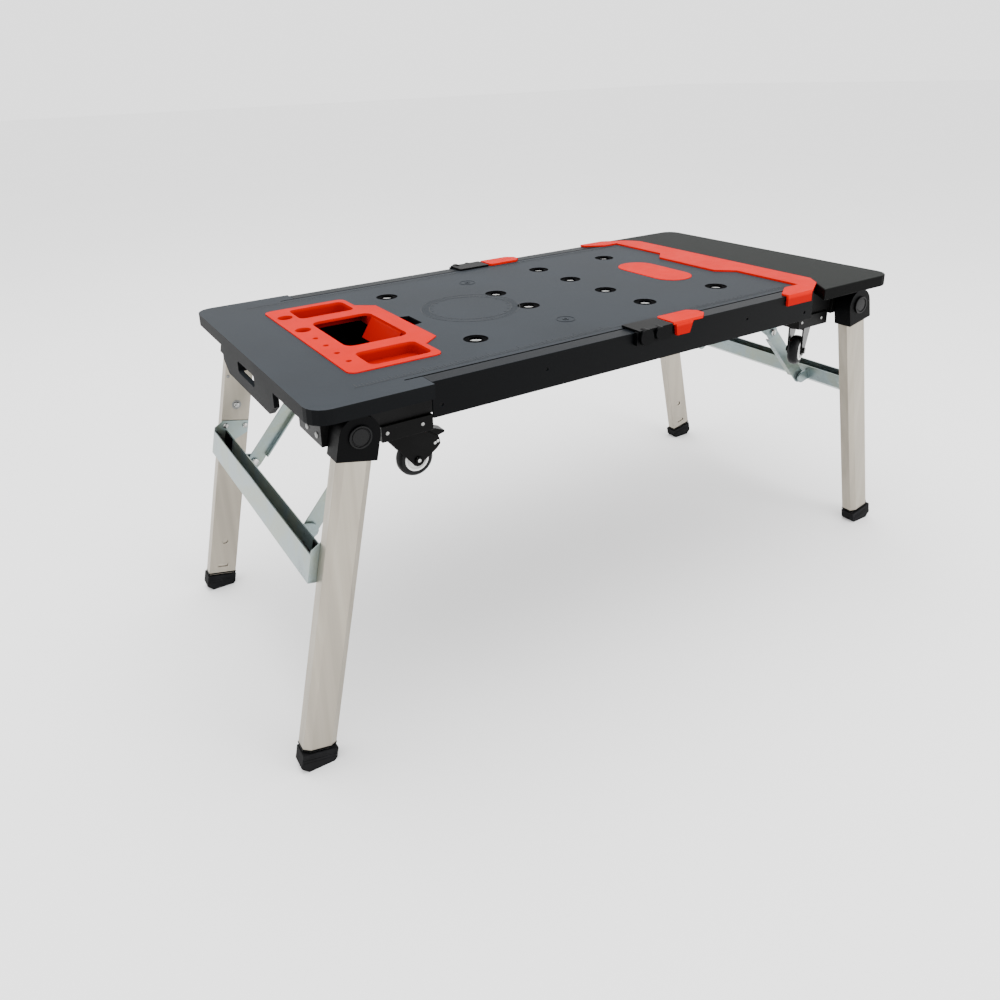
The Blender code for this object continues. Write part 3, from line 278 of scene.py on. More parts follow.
def zinc_plate(name, colour):
    """Pressed steel with passivated zinc: a blue and straw cast in soft blotches."""
    made, shader = new_material(name, colour, 0.30, 1.0)
    n = Nodes(made)
    blotch = n.noise(11.0, 5.0, None, 1.2)
    tint = n.ramp(blotch, ((0.26, shade(colour, 0.72)), (0.44, colour),
                           (0.60, (colour[0] * 1.12, colour[1] * 1.03, colour[2] * 0.84)),
                           (0.78, shade(colour, 1.25))))
    fine = n.noise(240.0, 4.0)
    n.link(n.mix(n.remap(fine, 0.0, 0.35, 0.45, 0.75), tint, shade(colour, 1.3)), shader.inputs["Base Color"])
    rough = n.maths("ADD", n.remap(blotch, 0.22, 0.38), n.remap(fine, -0.05, 0.07))
    n.link(rough, shader.inputs["Roughness"])
    n.bump(shader, n.noise(420.0, 3.0), 0.00003, 0.5)
    shader.inputs["Metallic"].default_value = 0.75
    return made


def powder_coat(name, colour, roughness=0.42, metallic=0.0):
    """Black coat with an orange-peel skin and a little dust in its tone."""
    made, shader = new_material(name, colour, roughness, metallic)
    n = Nodes(made)
    peel = n.noise(520.0, 2.0)
    dust = n.noise(16.0, 5.0)
    tone = n.ramp(dust, ((0.36, shade(colour, 0.8)), (0.76, shade(colour, 2.0))))
    n.link(tone, shader.inputs["Base Color"])
    n.link(n.remap(dust, roughness - 0.06, roughness + 0.10), shader.inputs["Roughness"])
    n.bump(shader, peel, 0.00008, 0.35)
    shader.inputs["Specular IOR Level"].default_value = 0.08
    return made


def soft_rubber(name, colour, roughness=0.82):
    made, shader = new_material(name, colour, roughness)
    n = Nodes(made)
    grime = n.noise(40.0, 5.0)
    n.link(n.ramp(grime, ((0.35, colour), (0.78, shade(colour, 2.6)))), shader.inputs["Base Color"])
    n.link(n.remap(grime, roughness - 0.08, roughness + 0.06), shader.inputs["Roughness"])
    n.bump(shader, n.noise(700.0, 3.0), 0.00010, 0.5)
    shader.inputs["Specular IOR Level"].default_value = 0.1
    return made


def bright_steel(name, colour, roughness=0.22):
    """Turned or headed steel for rivets, bolts, pins and buttons."""
    made, shader = new_material(name, colour, roughness, 1.0)
    n = Nodes(made)
    haze = n.noise(130.0, 4.0)
    tone = n.ramp(haze, ((0.3, shade(colour, 0.8)), (0.75, shade(colour, 1.15))))
    n.link(tone, shader.inputs["Base Color"])
    n.link(n.remap(haze, roughness - 0.05, roughness + 0.14), shader.inputs["Roughness"])
    n.bump(shader, n.noise(900.0), 0.00002, 0.4)
    return made


def hub_plastic(name, colour):
    """Glossy white wheel centre with a trace of road dust."""
    made, shader = new_material(name, colour, 0.28)
    n = Nodes(made)
    dust = n.noise(75.0, 5.0)
    n.link(n.ramp(dust, ((0.40, colour), (0.85, shade(colour, 0.72)))), shader.inputs["Base Color"])
    n.link(n.remap(dust, 0.2, 0.42), shader.inputs["Roughness"])
    n.bump(shader, n.noise(500.0), 0.00003, 0.3)
    return made


def plain_floor(name, colour):
    made, shader = new_material(name, colour, 0.9)
    n = Nodes(made)
    cloud = n.noise(1.3, 2.0)
    tone = n.ramp(cloud, ((0.3, shade(colour, 0.99)), (0.7, shade(colour, 1.0))))
    n.link(tone, shader.inputs["Base Color"])
    return made


# Shapes

def add_mesh(name, mesh, finish, body, smooth=35.0):
    made = bpy.data.objects.new(name, mesh)
    bpy.context.scene.collection.objects.link(made)
    mesh.materials.clear()
    mesh.materials.append(finish)
    mesh.shade_smooth()
    mesh.set_sharp_from_angle(angle=math.radians(smooth))
    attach(made, body)
    return made


def node_mesh(node, whole=True):
    """A clean copy of a frame node's mesh, with its flat faces made whole if that is wanted."""
    shape = bmesh.new()
    shape.from_mesh(frame["nodes"][node].data)
    bmesh.ops.remove_doubles(shape, verts=shape.verts, dist=2e-6)
    if whole:
        bmesh.ops.dissolve_limit(shape, angle_limit=math.radians(0.6), verts=shape.verts, edges=shape.edges)
    bmesh.ops.recalc_face_normals(shape, faces=shape.faces)
    mesh = bpy.data.meshes.new(node)
    shape.to_mesh(mesh)
    shape.free()
    for name in ("custom_normal", "sharp_edge", "sharp_face"):
        layer = mesh.attributes.get(name)
        if layer:
            mesh.attributes.remove(layer)
    return mesh


def cut_with(piece, mesh):
    """Cuts a mesh out of a piece for good."""
    tool = bpy.data.objects.new("tool", mesh)
    bpy.context.scene.collection.objects.link(tool)
    change = piece.modifiers.new("cut", "BOOLEAN")
    change.solver = "EXACT"
    change.object = tool
    bpy.context.view_layer.update()
    graph = bpy.context.evaluated_depsgraph_get()
    made = bpy.data.meshes.new_from_object(piece.evaluated_get(graph))
    piece.modifiers.remove(change)
    bpy.data.objects.remove(tool)
    shape = bmesh.new()
    shape.from_mesh(made)
    bmesh.ops.remove_doubles(shape, verts=shape.verts, dist=2e-6)
    bmesh.ops.dissolve_limit(shape, angle_limit=math.radians(0.6), verts=shape.verts, edges=shape.edges)
    shape.to_mesh(made)
    shape.free()
    made.materials.clear()
    made.materials.append(piece.data.materials[0])
    piece.data = made
    return piece


def soften(piece, width, segments=2, angle=35.0):
    """Rounds a piece's edges, and keeps its wide flat faces flat."""
    edge = piece.modifiers.new("edge", "BEVEL")
    edge.width = width
    edge.segments = segments
    edge.limit_method = "ANGLE"
    edge.angle_limit = math.radians(angle)
    edge.use_clamp_overlap = True
    bpy.context.view_layer.update()
    made = bpy.data.meshes.new_from_object(piece.evaluated_get(bpy.context.evaluated_depsgraph_get()))
    piece.modifiers.remove(edge)
    piece.data = made
    shape = bmesh.new()
    shape.from_mesh(made)
    for face in shape.faces:
        face.smooth = True
    wide = [face for face in shape.faces if 2 * face.calc_area() > 0.006 * face.calc_perimeter()]
    while wide:
        face = wide.pop()
        if not face.smooth:
            continue
        face.smooth = False
        wide += [other for edge in face.edges for other in edge.link_faces
                 if other.smooth and other.normal.dot(face.normal) > 0.999999]
    shape.to_mesh(made)
    shape.free()
    return piece


def finish_node(node, finish, width, cuts=(), segments=2, whole=True):
    """A detailed piece in place of a frame node: its shape, cut further and with rounded edges."""
    piece = add_mesh(node + "_piece", node_mesh(node, whole), finish, body_of_node(node))
    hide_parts(node)
    for mesh in cuts:
        cut_with(piece, mesh)
    if width:
        soften(piece, width, segments)
    return piece


def turned(profile, place, axis, segments=40, closed=False):
    """A profile of (radius, height) pairs turned about an axis through a place."""
    shape = bmesh.new()
    ring = [shape.verts.new((radius, 0.0, height)) for radius, height in profile]
    edges = [shape.edges.new(pair) for pair in zip(ring, ring[1:])]
    if closed:
        edges.append(shape.edges.new((ring[-1], ring[0])))
    bmesh.ops.spin(shape, geom=ring + edges, cent=(0, 0, 0), axis=(0, 0, 1), angle=math.tau,
                   steps=segments, use_duplicate=False)
    bmesh.ops.remove_doubles(shape, verts=shape.verts, dist=1e-6)
    bmesh.ops.recalc_face_normals(shape, faces=shape.faces)
    turn = Vector(axis).to_track_quat("Z", "Y").to_matrix().to_4x4()
    bmesh.ops.transform(shape, matrix=Matrix.Translation(place) @ turn, verts=shape.verts)
    mesh = bpy.data.meshes.new("turned")
    shape.to_mesh(mesh)
    shape.free()
    return mesh


def rod(place, end, radius, segments=40):
    axis = Vector(end) - Vector(place)
    return turned([(0, 0), (radius, 0), (radius, axis.length), (0, axis.length)], place, axis, segments)


def dome(place, axis, radius, height, segments=28):
    """A low rounded head that stands on its place."""
    profile = [(0.0, -height * 0.4), (radius, -height * 0.4), (radius, height * 0.25)]
    for step in range(1, 7):
        angle = math.radians(15 * step)
        profile.append((radius * math.cos(angle), height * (0.25 + 0.75 * math.sin(angle))))
    return turned(profile, place, axis, segments)


def hex_head(place, axis, radius, height, washer=0.0):
    """A hexagon head with turned-off corners, on a washer if one is wanted."""
    parts = []
    if washer:
        ring = [(0, 0), (washer, 0), (washer, height * 0.25), (0, height * 0.25)]
        parts.append(turned(ring, place, axis, 32))
    base = Vector(place) + Vector(axis).normalized() * height * (0.2 if washer else 0.0)
    head = [(0, 0), (radius, 0), (radius, height * 0.8), (radius * 0.86, height), (0, height)]
    parts.append(turned(head, base, axis, 6))
    stub = Vector(base) + Vector(axis).normalized() * height * 0.9
    thread = [(0, 0), (radius * 0.5, 0), (radius * 0.5, height * 0.5), (radius * 0.4, height * 0.6),
              (0, height * 0.6)]
    parts.append(turned(thread, stub, axis, 20))
    return merged(parts)


def boxes(pairs):
    shape = bmesh.new()
    for low, high in pairs:
        made = bmesh.ops.create_cube(shape, size=1.0)["verts"]
        size = [abs(h - l) for l, h in zip(low, high)]
        middle = [(h + l) / 2 for l, h in zip(low, high)]
        place = Matrix.Translation(middle) @ Matrix.Diagonal((*size, 1.0))
        bmesh.ops.transform(shape, matrix=place, verts=made)
    mesh = bpy.data.meshes.new("boxes")
    shape.to_mesh(mesh)
    shape.free()
    return mesh


def merged(meshes):
    shape = bmesh.new()
    for mesh in meshes:
        shape.from_mesh(mesh)
    made = bpy.data.meshes.new("merged")
    shape.to_mesh(made)
    shape.free()
    return made


def arc(centre, radius, start, end, steps):
    return [(centre[0] + radius * math.cos(math.radians(start + (end - start) * step / steps)),
             centre[1] + radius * math.sin(math.radians(start + (end - start) * step / steps)))
            for step in range(steps + 1)]


def slab(outlines, low, high):
    """A flat outline, with any holes, as a slab between two heights."""
    curve = bpy.data.curves.new("outline", "CURVE")
    curve.dimensions = "2D"
    curve.fill_mode = "BOTH"
    curve.extrude = (high - low) / 2
    for outline in outlines:
        spline = curve.splines.new("POLY")
        spline.points.add(len(outline) - 1)
        for point, (x, y) in zip(spline.points, outline):
            point.co = (x, y, 0.0, 1.0)
        spline.use_cyclic_u = True
    guide = bpy.data.objects.new("outline", curve)
    bpy.context.scene.collection.objects.link(guide)
    graph = bpy.context.evaluated_depsgraph_get()
    mesh = bpy.data.meshes.new_from_object(guide.evaluated_get(graph))
    bpy.data.objects.remove(guide)
    bpy.data.curves.remove(curve)
    mesh.materials.clear()
    shape = bmesh.new()
    shape.from_mesh(mesh)
    bmesh.ops.remove_doubles(shape, verts=shape.verts, dist=1e-6)
    bmesh.ops.recalc_face_normals(shape, faces=shape.faces)
    shape.to_mesh(mesh)
    shape.free()
    mesh.transform(Matrix.Translation((0, 0, (low + high) / 2)))
    return mesh


def on_leg(mesh, side):
    """Turns a mesh from a leg's own coordinates to its place at that end."""
    end = Matrix.Rotation(0.0 if side == "left" else math.pi, 4, "Z")
    mesh.transform(end @ Matrix.Translation(PIVOT) @ Matrix.Rotation(SPLAY, 4, "Y"))
    return mesh


def on_end(mesh, side):
    if side == "right":
        mesh.transform(Matrix.Rotation(math.pi, 4, "Z"))
    return mesh


def side_sign(corner):
    """The sign of Y at a corner, in its own end's coordinates."""
    side, place = corner.split("_")
    return -1 if (place == "front") == (side == "left") else 1


def dog_places():
    x, pitch_x, pitch_y = DOG_GRID
    return [(x + column * pitch_x, row * pitch_y) for column, row in DOG_CELLS]


# Settings

class BenchLooks(bpy.types.PropertyGroup):
    """Colours and small sizes that change the bench's looks."""
    deck_colour: FloatVectorProperty(
        name="Deck", description="Slate grey of the deck moulding", subtype="COLOR",
        default=(0.0195, 0.0230, 0.0275))
    end_colour: FloatVectorProperty(
        name="End panel", description="Darker grey of the right end panel", subtype="COLOR",
        default=(0.0115, 0.0125, 0.0118))
    rail_colour: FloatVectorProperty(
        name="Rails", description="Blue black of the side rails", subtype="COLOR",
        default=(0.0012, 0.0016, 0.0022))
    orange_colour: FloatVectorProperty(
        name="Orange", description="Orange of the tray, trim, cover and stops", subtype="COLOR",
        default=(0.46, 0.0030, 0.0001))
    # Painted shade: the orange that the mouldings turn to in their recesses below the deck top, as if in
    # shadow.
    recess_shade_orange: FloatVectorProperty(
        name="Deep orange", description="Tone of the orange mouldings in their recesses", subtype="COLOR",
        default=(0.30, 0.0008, 0.0001))
    plastic_colour: FloatVectorProperty(
        name="Black plastic", description="Knuckles and brackets", subtype="COLOR",
        default=(0.0009, 0.0010, 0.0012))
    metal_black: FloatVectorProperty(
        name="Black metal", description="Frame beams and caster pressings", subtype="COLOR",
        default=(0.0012, 0.0012, 0.0012))
    leg_colour: FloatVectorProperty(
        name="Leg tubes", description="Warm silver of the anodised legs", subtype="COLOR",
        default=(0.33, 0.30, 0.25))
    zinc_colour: FloatVectorProperty(
        name="Zinc", description="Plated channels and stays", subtype="COLOR", default=(0.20, 0.25, 0.255))
    steel_colour: FloatVectorProperty(
        name="Steel", description="Rivets, bolts and buttons", subtype="COLOR", default=(0.42, 0.42, 0.41))
    rubber_colour: FloatVectorProperty(
        name="Rubber", description="Feet and tyres", subtype="COLOR", default=(0.0025, 0.0025, 0.0028))
    hub_colour: FloatVectorProperty(
        name="Wheel hub", description="White plastic of the caster hubs", subtype="COLOR",
        default=(0.62, 0.62, 0.61))
    floor_colour: FloatVectorProperty(
        name="Floor", description="Pale studio floor", subtype="COLOR", default=(0.92, 0.92, 0.92))
    edge_radius: FloatProperty(
        name="Moulded edge", description="Rounding of the deck's moulded edges", unit="LENGTH",
        default=0.0022)
    sheet_radius: FloatProperty(
        name="Sheet edge", description="Rounding of pressed and cut metal edges", unit="LENGTH",
        default=0.0004)
    tick_pitch: FloatProperty(
        name="Ruler pitch", description="Distance between the ruler's marks", default=0.005, unit="LENGTH")
    mark_height: FloatProperty(
        name="Mark height", description="How far moulded marks stand out", default=0.00025, unit="LENGTH")
    turn_steps: IntProperty(
        name="Turned steps", description="Steps round each turned piece", default=48, min=16, max=128)


def looks():
    return bpy.context.scene.bench_looks


def finishes():
    """All the bench's materials, made once from its settings."""
    if finishes.made:
        return finishes.made
    c = looks()
    finishes.made.update({
        # Painted shade: the sixth figure of each moulding is its flank factor. Deck and end panel flanks fall
        # to a tenth of their colour, the rails' to 0.15, and the black mouldings' to 0.8 and 0.9. The rails'
        # colour is also raised 3.2 times so that their tops read lit.
        "deck": moulded_plastic("deck_moulding", c.deck_colour, 0.56, 0.00011, 0.10, 0.10, 0.05),
        "end": moulded_plastic("end_moulding", c.end_colour, 0.58, 0.00013, 0.14, 0.10, 0.03),
        "mark": moulded_plastic("moulded_marks", shade(c.deck_colour, 0.55), 0.6, 0.00005, 0.1),
        "rail": moulded_plastic("rail_moulding", shade(c.rail_colour, 3.2), 0.42, 0.00006, 0.05, 0.15, 0.05),
        "orange": orange_moulding("orange_moulding", c.orange_colour, c.recess_shade_orange, TOP),
        "plastic": moulded_plastic("black_moulding", c.plastic_colour, 0.42, 0.00008, 0.06, 0.8, 0.04),
        # Painted highlight: a lighter grey than the black mouldings, with more sheen, for the light caught on
        # the bosses' rims.
        "rim": moulded_plastic("painted_highlight_rim", (0.030, 0.032, 0.034), 0.4, 0.00004, 0.2, 1.0, 0.2),
        "matt": moulded_plastic("matt_black_moulding", shade(c.plastic_colour, 0.7), 0.7, 0.00004, 0.02, 1.0,
                                0.01),
        "gloss": moulded_plastic("gloss_black_moulding", c.plastic_colour, 0.26, 0.00002, 0.03, 0.9, 0.14),
        "beam": powder_coat("beam_coat", c.metal_black, 0.42),
        "caster": powder_coat("caster_coat", c.metal_black, 0.30, 0.4),
        "leg_left": extruded_aluminium("leg_tube_left", c.leg_colour, SPLAY),
        "leg_right": extruded_aluminium("leg_tube_right", c.leg_colour, -SPLAY),
        "inner_left": extruded_aluminium("inner_tube_left", shade(c.leg_colour, 1.08), SPLAY, 0.28),
        "inner_right": extruded_aluminium("inner_tube_right", shade(c.leg_colour, 1.08), -SPLAY, 0.28),
        "zinc": zinc_plate("zinc_plate", c.zinc_colour),
        "steel": bright_steel("bright_steel", c.steel_colour),
        "dull": bright_steel("dull_steel", shade(c.steel_colour, 0.6), 0.36),
        "tyre": soft_rubber("tyre_polyurethane", c.rubber_colour, 0.42),
        "foot": soft_rubber("foot_rubber", c.rubber_colour, 0.78),
        "hub": hub_plastic("wheel_hub", c.hub_colour),
    })
    return finishes.made


finishes.made = {}


# Pieces

class BENCH_OT_deck(bpy.types.Operator):
    """Deck moulding with its dog holes, ruler marks, protractor and screw bosses"""
    bl_idname = "bench.deck"
    bl_label = "Deck"

    def execute(self, context):
        c, f = looks(), finishes()
        rings = merged([rod((x, y, TOP - 0.0022), (x, y, TOP + 0.01), 0.0187, 56) for x, y in dog_places()])
        holes = merged([rod((x, y, TOP - 0.03), (x, y, TOP + 0.01), 0.0102, 40) for x, y in dog_places()])
        finish_node("deck_panel", f["deck"], c.edge_radius * 0.5, (rings, holes), 3)
        collars, glint_sleeves = [], []
        for x, y in dog_places():
            profile = [(0.0102, -0.0034), (0.0102, -0.0021), (0.0178, -0.0021), (0.0184, -0.0016),
                       (0.0185, -0.0005), (0.0181, -0.0002), (0.0176, -0.0004), (0.0166, -0.0013),
                       (0.0124, -0.0014), (0.0112, -0.0005), (0.0104, -0.0003), (0.0098, -0.0007),
                       (0.0097, -0.0034)]
            collars.append(turned(profile, (x, y, TOP), (0, 0, 1), 56, True))
            # Painted highlight: a pale sleeve of white hub plastic sits low in each hole and stands in for
            # the glint of light seen inside it.
            glint_sleeve = [(0.0095, -0.0042), (0.0096, -0.0039), (0.0101, -0.0052), (0.0101, -0.0150),
                      (0.0095, -0.0150)]
            glint_sleeves.append(turned(glint_sleeve, (x, y, TOP), (0, 0, 1), 48, True))
        add_mesh("dog_hole_collars", merged(collars), f["matt"], "deck")
        add_mesh("dog_hole_glint_sleeves", merged(glint_sleeves), f["hub"], "deck")
        self.add_marks(c, f)
        return {"FINISHED"}

    def add_marks(self, c, f):
        low, high = TOP - 0.0004, TOP + c.mark_height
        marks = []
        count = int(0.80 / c.tick_pitch)
        for index in range(count + 1):
            x = RULER_START + index * c.tick_pitch
            if abs(x + 0.004) < 0.052:
                continue
            length = 0.013 if index % 10 == 0 else 0.009 if index % 2 == 0 else 0.006
            for sign in (-1, 1):
                start, end = sorted((sign * RULER_EDGE, sign * (RULER_EDGE - length)))
                marks.append(((x - 0.00045, start, low), (x + 0.00045, end, high)))
        add_mesh("ruler_marks", boxes(marks), f["mark"], "deck")
        edge = RULER_EDGE + 0.0015
        lines = [((RULER_START - 0.004, sign * edge - 0.0004, low), (0.338, sign * edge + 0.0004, high))
                 for sign in (-1, 1)]
        add_mesh("ruler_lines", boxes(lines), f["mark"], "deck")
        parts = []
        for radius in (0.082, 0.068):
            rims = [arc(PROTRACTOR, radius + offset, 0, 360, 72)[:-1] for offset in (0.0004, -0.0004)]
            parts.append(slab(rims, low, high))
        spokes = []
        for step in range(72):
            angle = math.radians(step * 5)
            inner = 0.070 if step % 3 else 0.062
            mesh = boxes([((inner, -0.0003, low), (0.080, 0.0003, high))])
            mesh.transform(Matrix.Translation((*PROTRACTOR, 0)) @ Matrix.Rotation(angle, 4, "Z"))
            spokes.append(mesh)
        add_mesh("protractor_marks", merged(parts + spokes), f["mark"], "deck")
        bosses = []
        for x, y in ((-0.083, 0.148), (-0.083, -0.150)):
            bosses.append(turned([(0.0150, -0.0004), (0.0152, 0.0005), (0.0136, 0.0005), (0.0132, -0.0004)],
                                 (x, y, TOP), (0, 0, 1), 48, True))
            bosses.append(turned([(0, -0.0004), (0.0052, -0.0004), (0.0048, 0.0007), (0.0022, 0.0008),
                                  (0.0018, -0.0002), (0, -0.0002)], (x, y, TOP), (0, 0, 1), 32))
        add_mesh("screw_bosses", merged(bosses), f["deck"], "deck")


class BENCH_OT_end_panel(bpy.types.Operator):
    """Plain end panel at the right, with its rounded corners"""
    bl_idname = "bench.end_panel"
    bl_label = "End panel"

    def execute(self, context):
        finish_node("right_end_panel", finishes()["end"], looks().edge_radius * 0.8, (), 3)
        return {"FINISHED"}


class BENCH_OT_tray(bpy.types.Operator):
    """Orange tool tray with its cups, small holes, pockets and window"""
    bl_idname = "bench.tray"
    bl_label = "Tool tray"

    def execute(self, context):
        low, high = TOP - 0.0158, TOP + 0.01
        cups = [rod((CUP_X, y, low), (CUP_X, y, high), 0.0125, 40) for y in (0.046, 0.130)]
        holes = [rod((CUP_X, y, low), (CUP_X, y, high), 0.0044, 28) for y in (-0.007, -0.049, -0.091, -0.133)]
        finish_node("tool_tray", finishes()["orange"], looks().edge_radius * 0.4,
                    (merged(cups + holes),), 3)
        return {"FINISHED"}


class BENCH_OT_tool_well(bpy.types.Operator):
    """Black tub under the tray's window"""
    bl_idname = "bench.tool_well"
    bl_label = "Tool well"

    def execute(self, context):
        finish_node("tool_well", finishes()["plastic"], 0.0010, (), 2)
        return {"FINISHED"}


class BENCH_OT_orange_trim(bpy.types.Operator):
    """Cross trim with its two arms, and the oval cover"""
    bl_idname = "bench.orange_trim"
    bl_label = "Trim and cover"

    def execute(self, context):
        f = finishes()
        finish_node("cross_trim", f["orange"], 0.0010, (), 3, False)
        finish_node("oval_cover", f["orange"], 0.0006, (), 2)
        return {"FINISHED"}


class BENCH_OT_rails(bpy.types.Operator):
    """Side rails with their small fixing holes"""
    bl_idname = "bench.rails"
    bl_label = "Rails"

    def execute(self, context):
        f = finishes()
        for place, sign in (("front", -1), ("back", 1)):
            skirt = sign * 0.2685
            holes = [rod((x, skirt - sign * 0.006, z), (x, skirt + sign * 0.002, z), radius, 24)
                     for x, z, radius in ((-0.205, TOP - 0.022, 0.0022), (0.190, TOP - 0.022, 0.0022),
                                          (-0.372, TOP - 0.034, 0.0026), (0.330, TOP - 0.036, 0.0026))]
            finish_node(place + "_rail", f["rail"], 0.0007, (merged(holes),), 2)
        return {"FINISHED"}


class BENCH_OT_brackets(bpy.types.Operator):
    """Rail brackets, each with a socket screw boss and a steel screw"""
    bl_idname = "bench.brackets"
    bl_label = "Rail brackets"

    def execute(self, context):
        f = finishes()
        for place, sign in (("front", -1), ("back", 1)):
            node = place + "_rail_bracket"
            finish_node(node, f["plastic"], 0.0007)
            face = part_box(node)[0].y if sign < 0 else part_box(node)[1].y
            rings, screws = [], []
            for x, z, radius in (BIG_BOSS, SMALL_BOSS):
                at = (x, face - sign * 0.0030, z)
                profile = [(radius * 0.50, 0.0), (radius * 0.98, 0.0), (radius * 0.98, 0.0026),
                           (radius * 0.90, 0.0029), (radius * 0.70, 0.0029), (radius * 0.62, 0.0024)]
                rings.append(turned(profile, at, (0, sign, 0), 40, True))
            socket = (BIG_BOSS[0], face - sign * 0.0012, BIG_BOSS[1])
            screws.append(turned([(0.0030, 0.0), (0.0062, 0.0), (0.0062, 0.0009), (0.0056, 0.0011),
                                  (0.0034, 0.0011), (0.0030, 0.0007)], socket, (0, sign, 0), 6, True))
            # Painted highlight: the boss rings take the lighter rim finish so that their edges read as
            # catching the light.
            add_mesh(place + "_boss_rings", merged(rings), f["rim"], body_of_node(node))
            add_mesh(place + "_boss_socket", merged(screws), f["gloss"], body_of_node(node))
            screw = (SMALL_BOSS[0], face - sign * 0.0008, SMALL_BOSS[1])
            head = [(0, -0.001), (0.0044, -0.001), (0.0044, 0.0001), (0.0030, 0.0007), (0.0012, 0.0008),
                    (0.0010, 0.0001), (0, 0.0001)]
            add_mesh(place + "_bracket_screw", turned(head, screw, (0, sign, 0), 32), f["steel"],
                     body_of_node(node))
        return {"FINISHED"}


class BENCH_OT_stops(bpy.types.Operator):
    """Orange stops that slide on the rails"""
    bl_idname = "bench.stops"
    bl_label = "Sliding stops"

    def execute(self, context):
        for place in ("front", "back"):
            finish_node(place + "_sliding_stop", finishes()["orange"], 0.0011, (), 3, False)
        return {"FINISHED"}


class BENCH_OT_frame_beams(bpy.types.Operator):
    """Frame beams under the deck, with the bolts of their hinge heads"""
    bl_idname = "bench.frame_beams"
    bl_label = "Frame beams"

    def execute(self, context):
        f = finishes()
        for place, sign in (("front", -1), ("back", 1)):
            node = place + "_frame_beam"
            finish_node(node, f["beam"], 0.0008)
            bolts = [dome((way * 0.524, sign * y, TOP - 0.056), (way, 0, 0), 0.0042, 0.0022)
                     for way in (-1, 1) for y in (0.182, 0.216)]
            add_mesh(place + "_beam_bolts", merged(bolts), f["dull"], "deck")
            pins = [dome((x, sign * 0.1382, TOP - 0.062), (0, sign, 0), 0.0056, 0.0020)
                    for x in (-0.340, 0.340)]
            add_mesh(place + "_stay_pin_heads", merged(pins), f["steel"], "deck")
        return {"FINISHED"}


class BENCH_OT_cross_rods(bpy.types.Operator):
    """Cross rods that the legs turn on, with their round caps"""
    bl_idname = "bench.cross_rods"
    bl_label = "Cross rods"

    def execute(self, context):
        f = finishes()
        for side in SIDES:
            node = side + "_cross_rod"
            low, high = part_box(node)
            x = (low.x + high.x) / 2
            z = TOP - 0.050
            steel = add_mesh(node + "_bar", rod((x, low.y + 0.0035, z), (x, high.y - 0.0035, z), 0.0060),
                             f["dull"], body_of_node(node))
            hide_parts(node)
            caps = []
            for sign, face in ((-1, low.y), (1, high.y)):
                profile = [(0.0, 0.0), (0.0154, 0.0), (0.0154, 0.0021), (0.0148, 0.0029), (0.0131, 0.0029),
                           (0.0125, 0.0022), (0.0122, 0.0012), (0.0114, 0.0010), (0.0108, 0.0016),
                           (0.0, 0.0020)]
                caps.append(turned(profile, (x, face - sign * 0.0030, z), (0, sign, 0), 64))
            add_mesh(side + "_pivot_caps", merged(caps), f["gloss"], body_of_node(node))
        return {"FINISHED"}


class BENCH_OT_knuckles(bpy.types.Operator):
    """Plastic knuckles at the tops of the legs"""
    bl_idname = "bench.knuckles"
    bl_label = "Knuckles"

    def execute(self, context):
        f = finishes()
        for corner in CORNERS:
            finish_node(corner + "_knuckle", f["plastic"], 0.0016, (), 3)
        return {"FINISHED"}


class BENCH_OT_legs(bpy.types.Operator):
    """Telescopic leg tubes, with an end bush below each outer tube"""
    bl_idname = "bench.legs"
    bl_label = "Legs"

    def execute(self, context):
        f = finishes()
        for corner in CORNERS:
            side = corner.split("_")[0]
            sign = side_sign(corner)
            finish_node(corner + "_outer_leg", f["leg_" + side], 0.0007, (), 2)
            finish_node(corner + "_inner_leg", f["inner_" + side], 0.0004, (), 1)
            outer = self.outline(sign, -0.0005)
            hole = self.outline(sign, 0.0019)
            bush = on_leg(slab([outer, hole], -0.4519, -0.4497), side)
            add_mesh(corner + "_leg_bush", bush, f["plastic"], body_of_node(corner + "_outer_leg"))
            heads = on_leg(dome((-0.019, sign * LEG_INNER, -0.071), (0, -sign, 0), 0.0030, 0.0012), side)
            add_mesh(corner + "_leg_rivet", heads, f["dull"], body_of_node(corner + "_outer_leg"))
        return {"FINISHED"}

    def outline(self, sign, inset):
        half = 0.0243 - inset
        inner, outer = LEG_INNER + inset, LEG_OUTER - inset
        cut_x, cut_y = 0.0095 - inset * 0.7, 0.0057 - inset * 0.3
        points = [(-half, inner), (half, inner), (half, outer - cut_y), (half - cut_x, outer),
                  (-half + cut_x, outer), (-half, outer - cut_y)]
        return [(x, sign * y) for x, y in points]


class BENCH_OT_feet(bpy.types.Operator):
    """Rubber feet with tread grooves round them"""
    bl_idname = "bench.feet"
    bl_label = "Feet"

    def execute(self, context):
        f = finishes()
        for corner in CORNERS:
            side, sign = corner.split("_")[0], side_sign(corner)
            middle = sign * (LEG_INNER + LEG_OUTER) / 2
            half = 0.0135
            grooves = []
            for drop in (0.4635, 0.4680):
                cuts = []
                for near, far in ((-half - 0.004, -half + 0.0012), (half - 0.0012, half + 0.004)):
                    cuts.append(((-0.027, middle + near, -drop - 0.0005),
                                 (0.027, middle + far, -drop + 0.0005)))
                ring = boxes(cuts)
                grooves.append(on_leg(ring, side))
            finish_node(corner + "_foot", f["foot"], 0.0012, (merged(grooves),), 2)
        return {"FINISHED"}


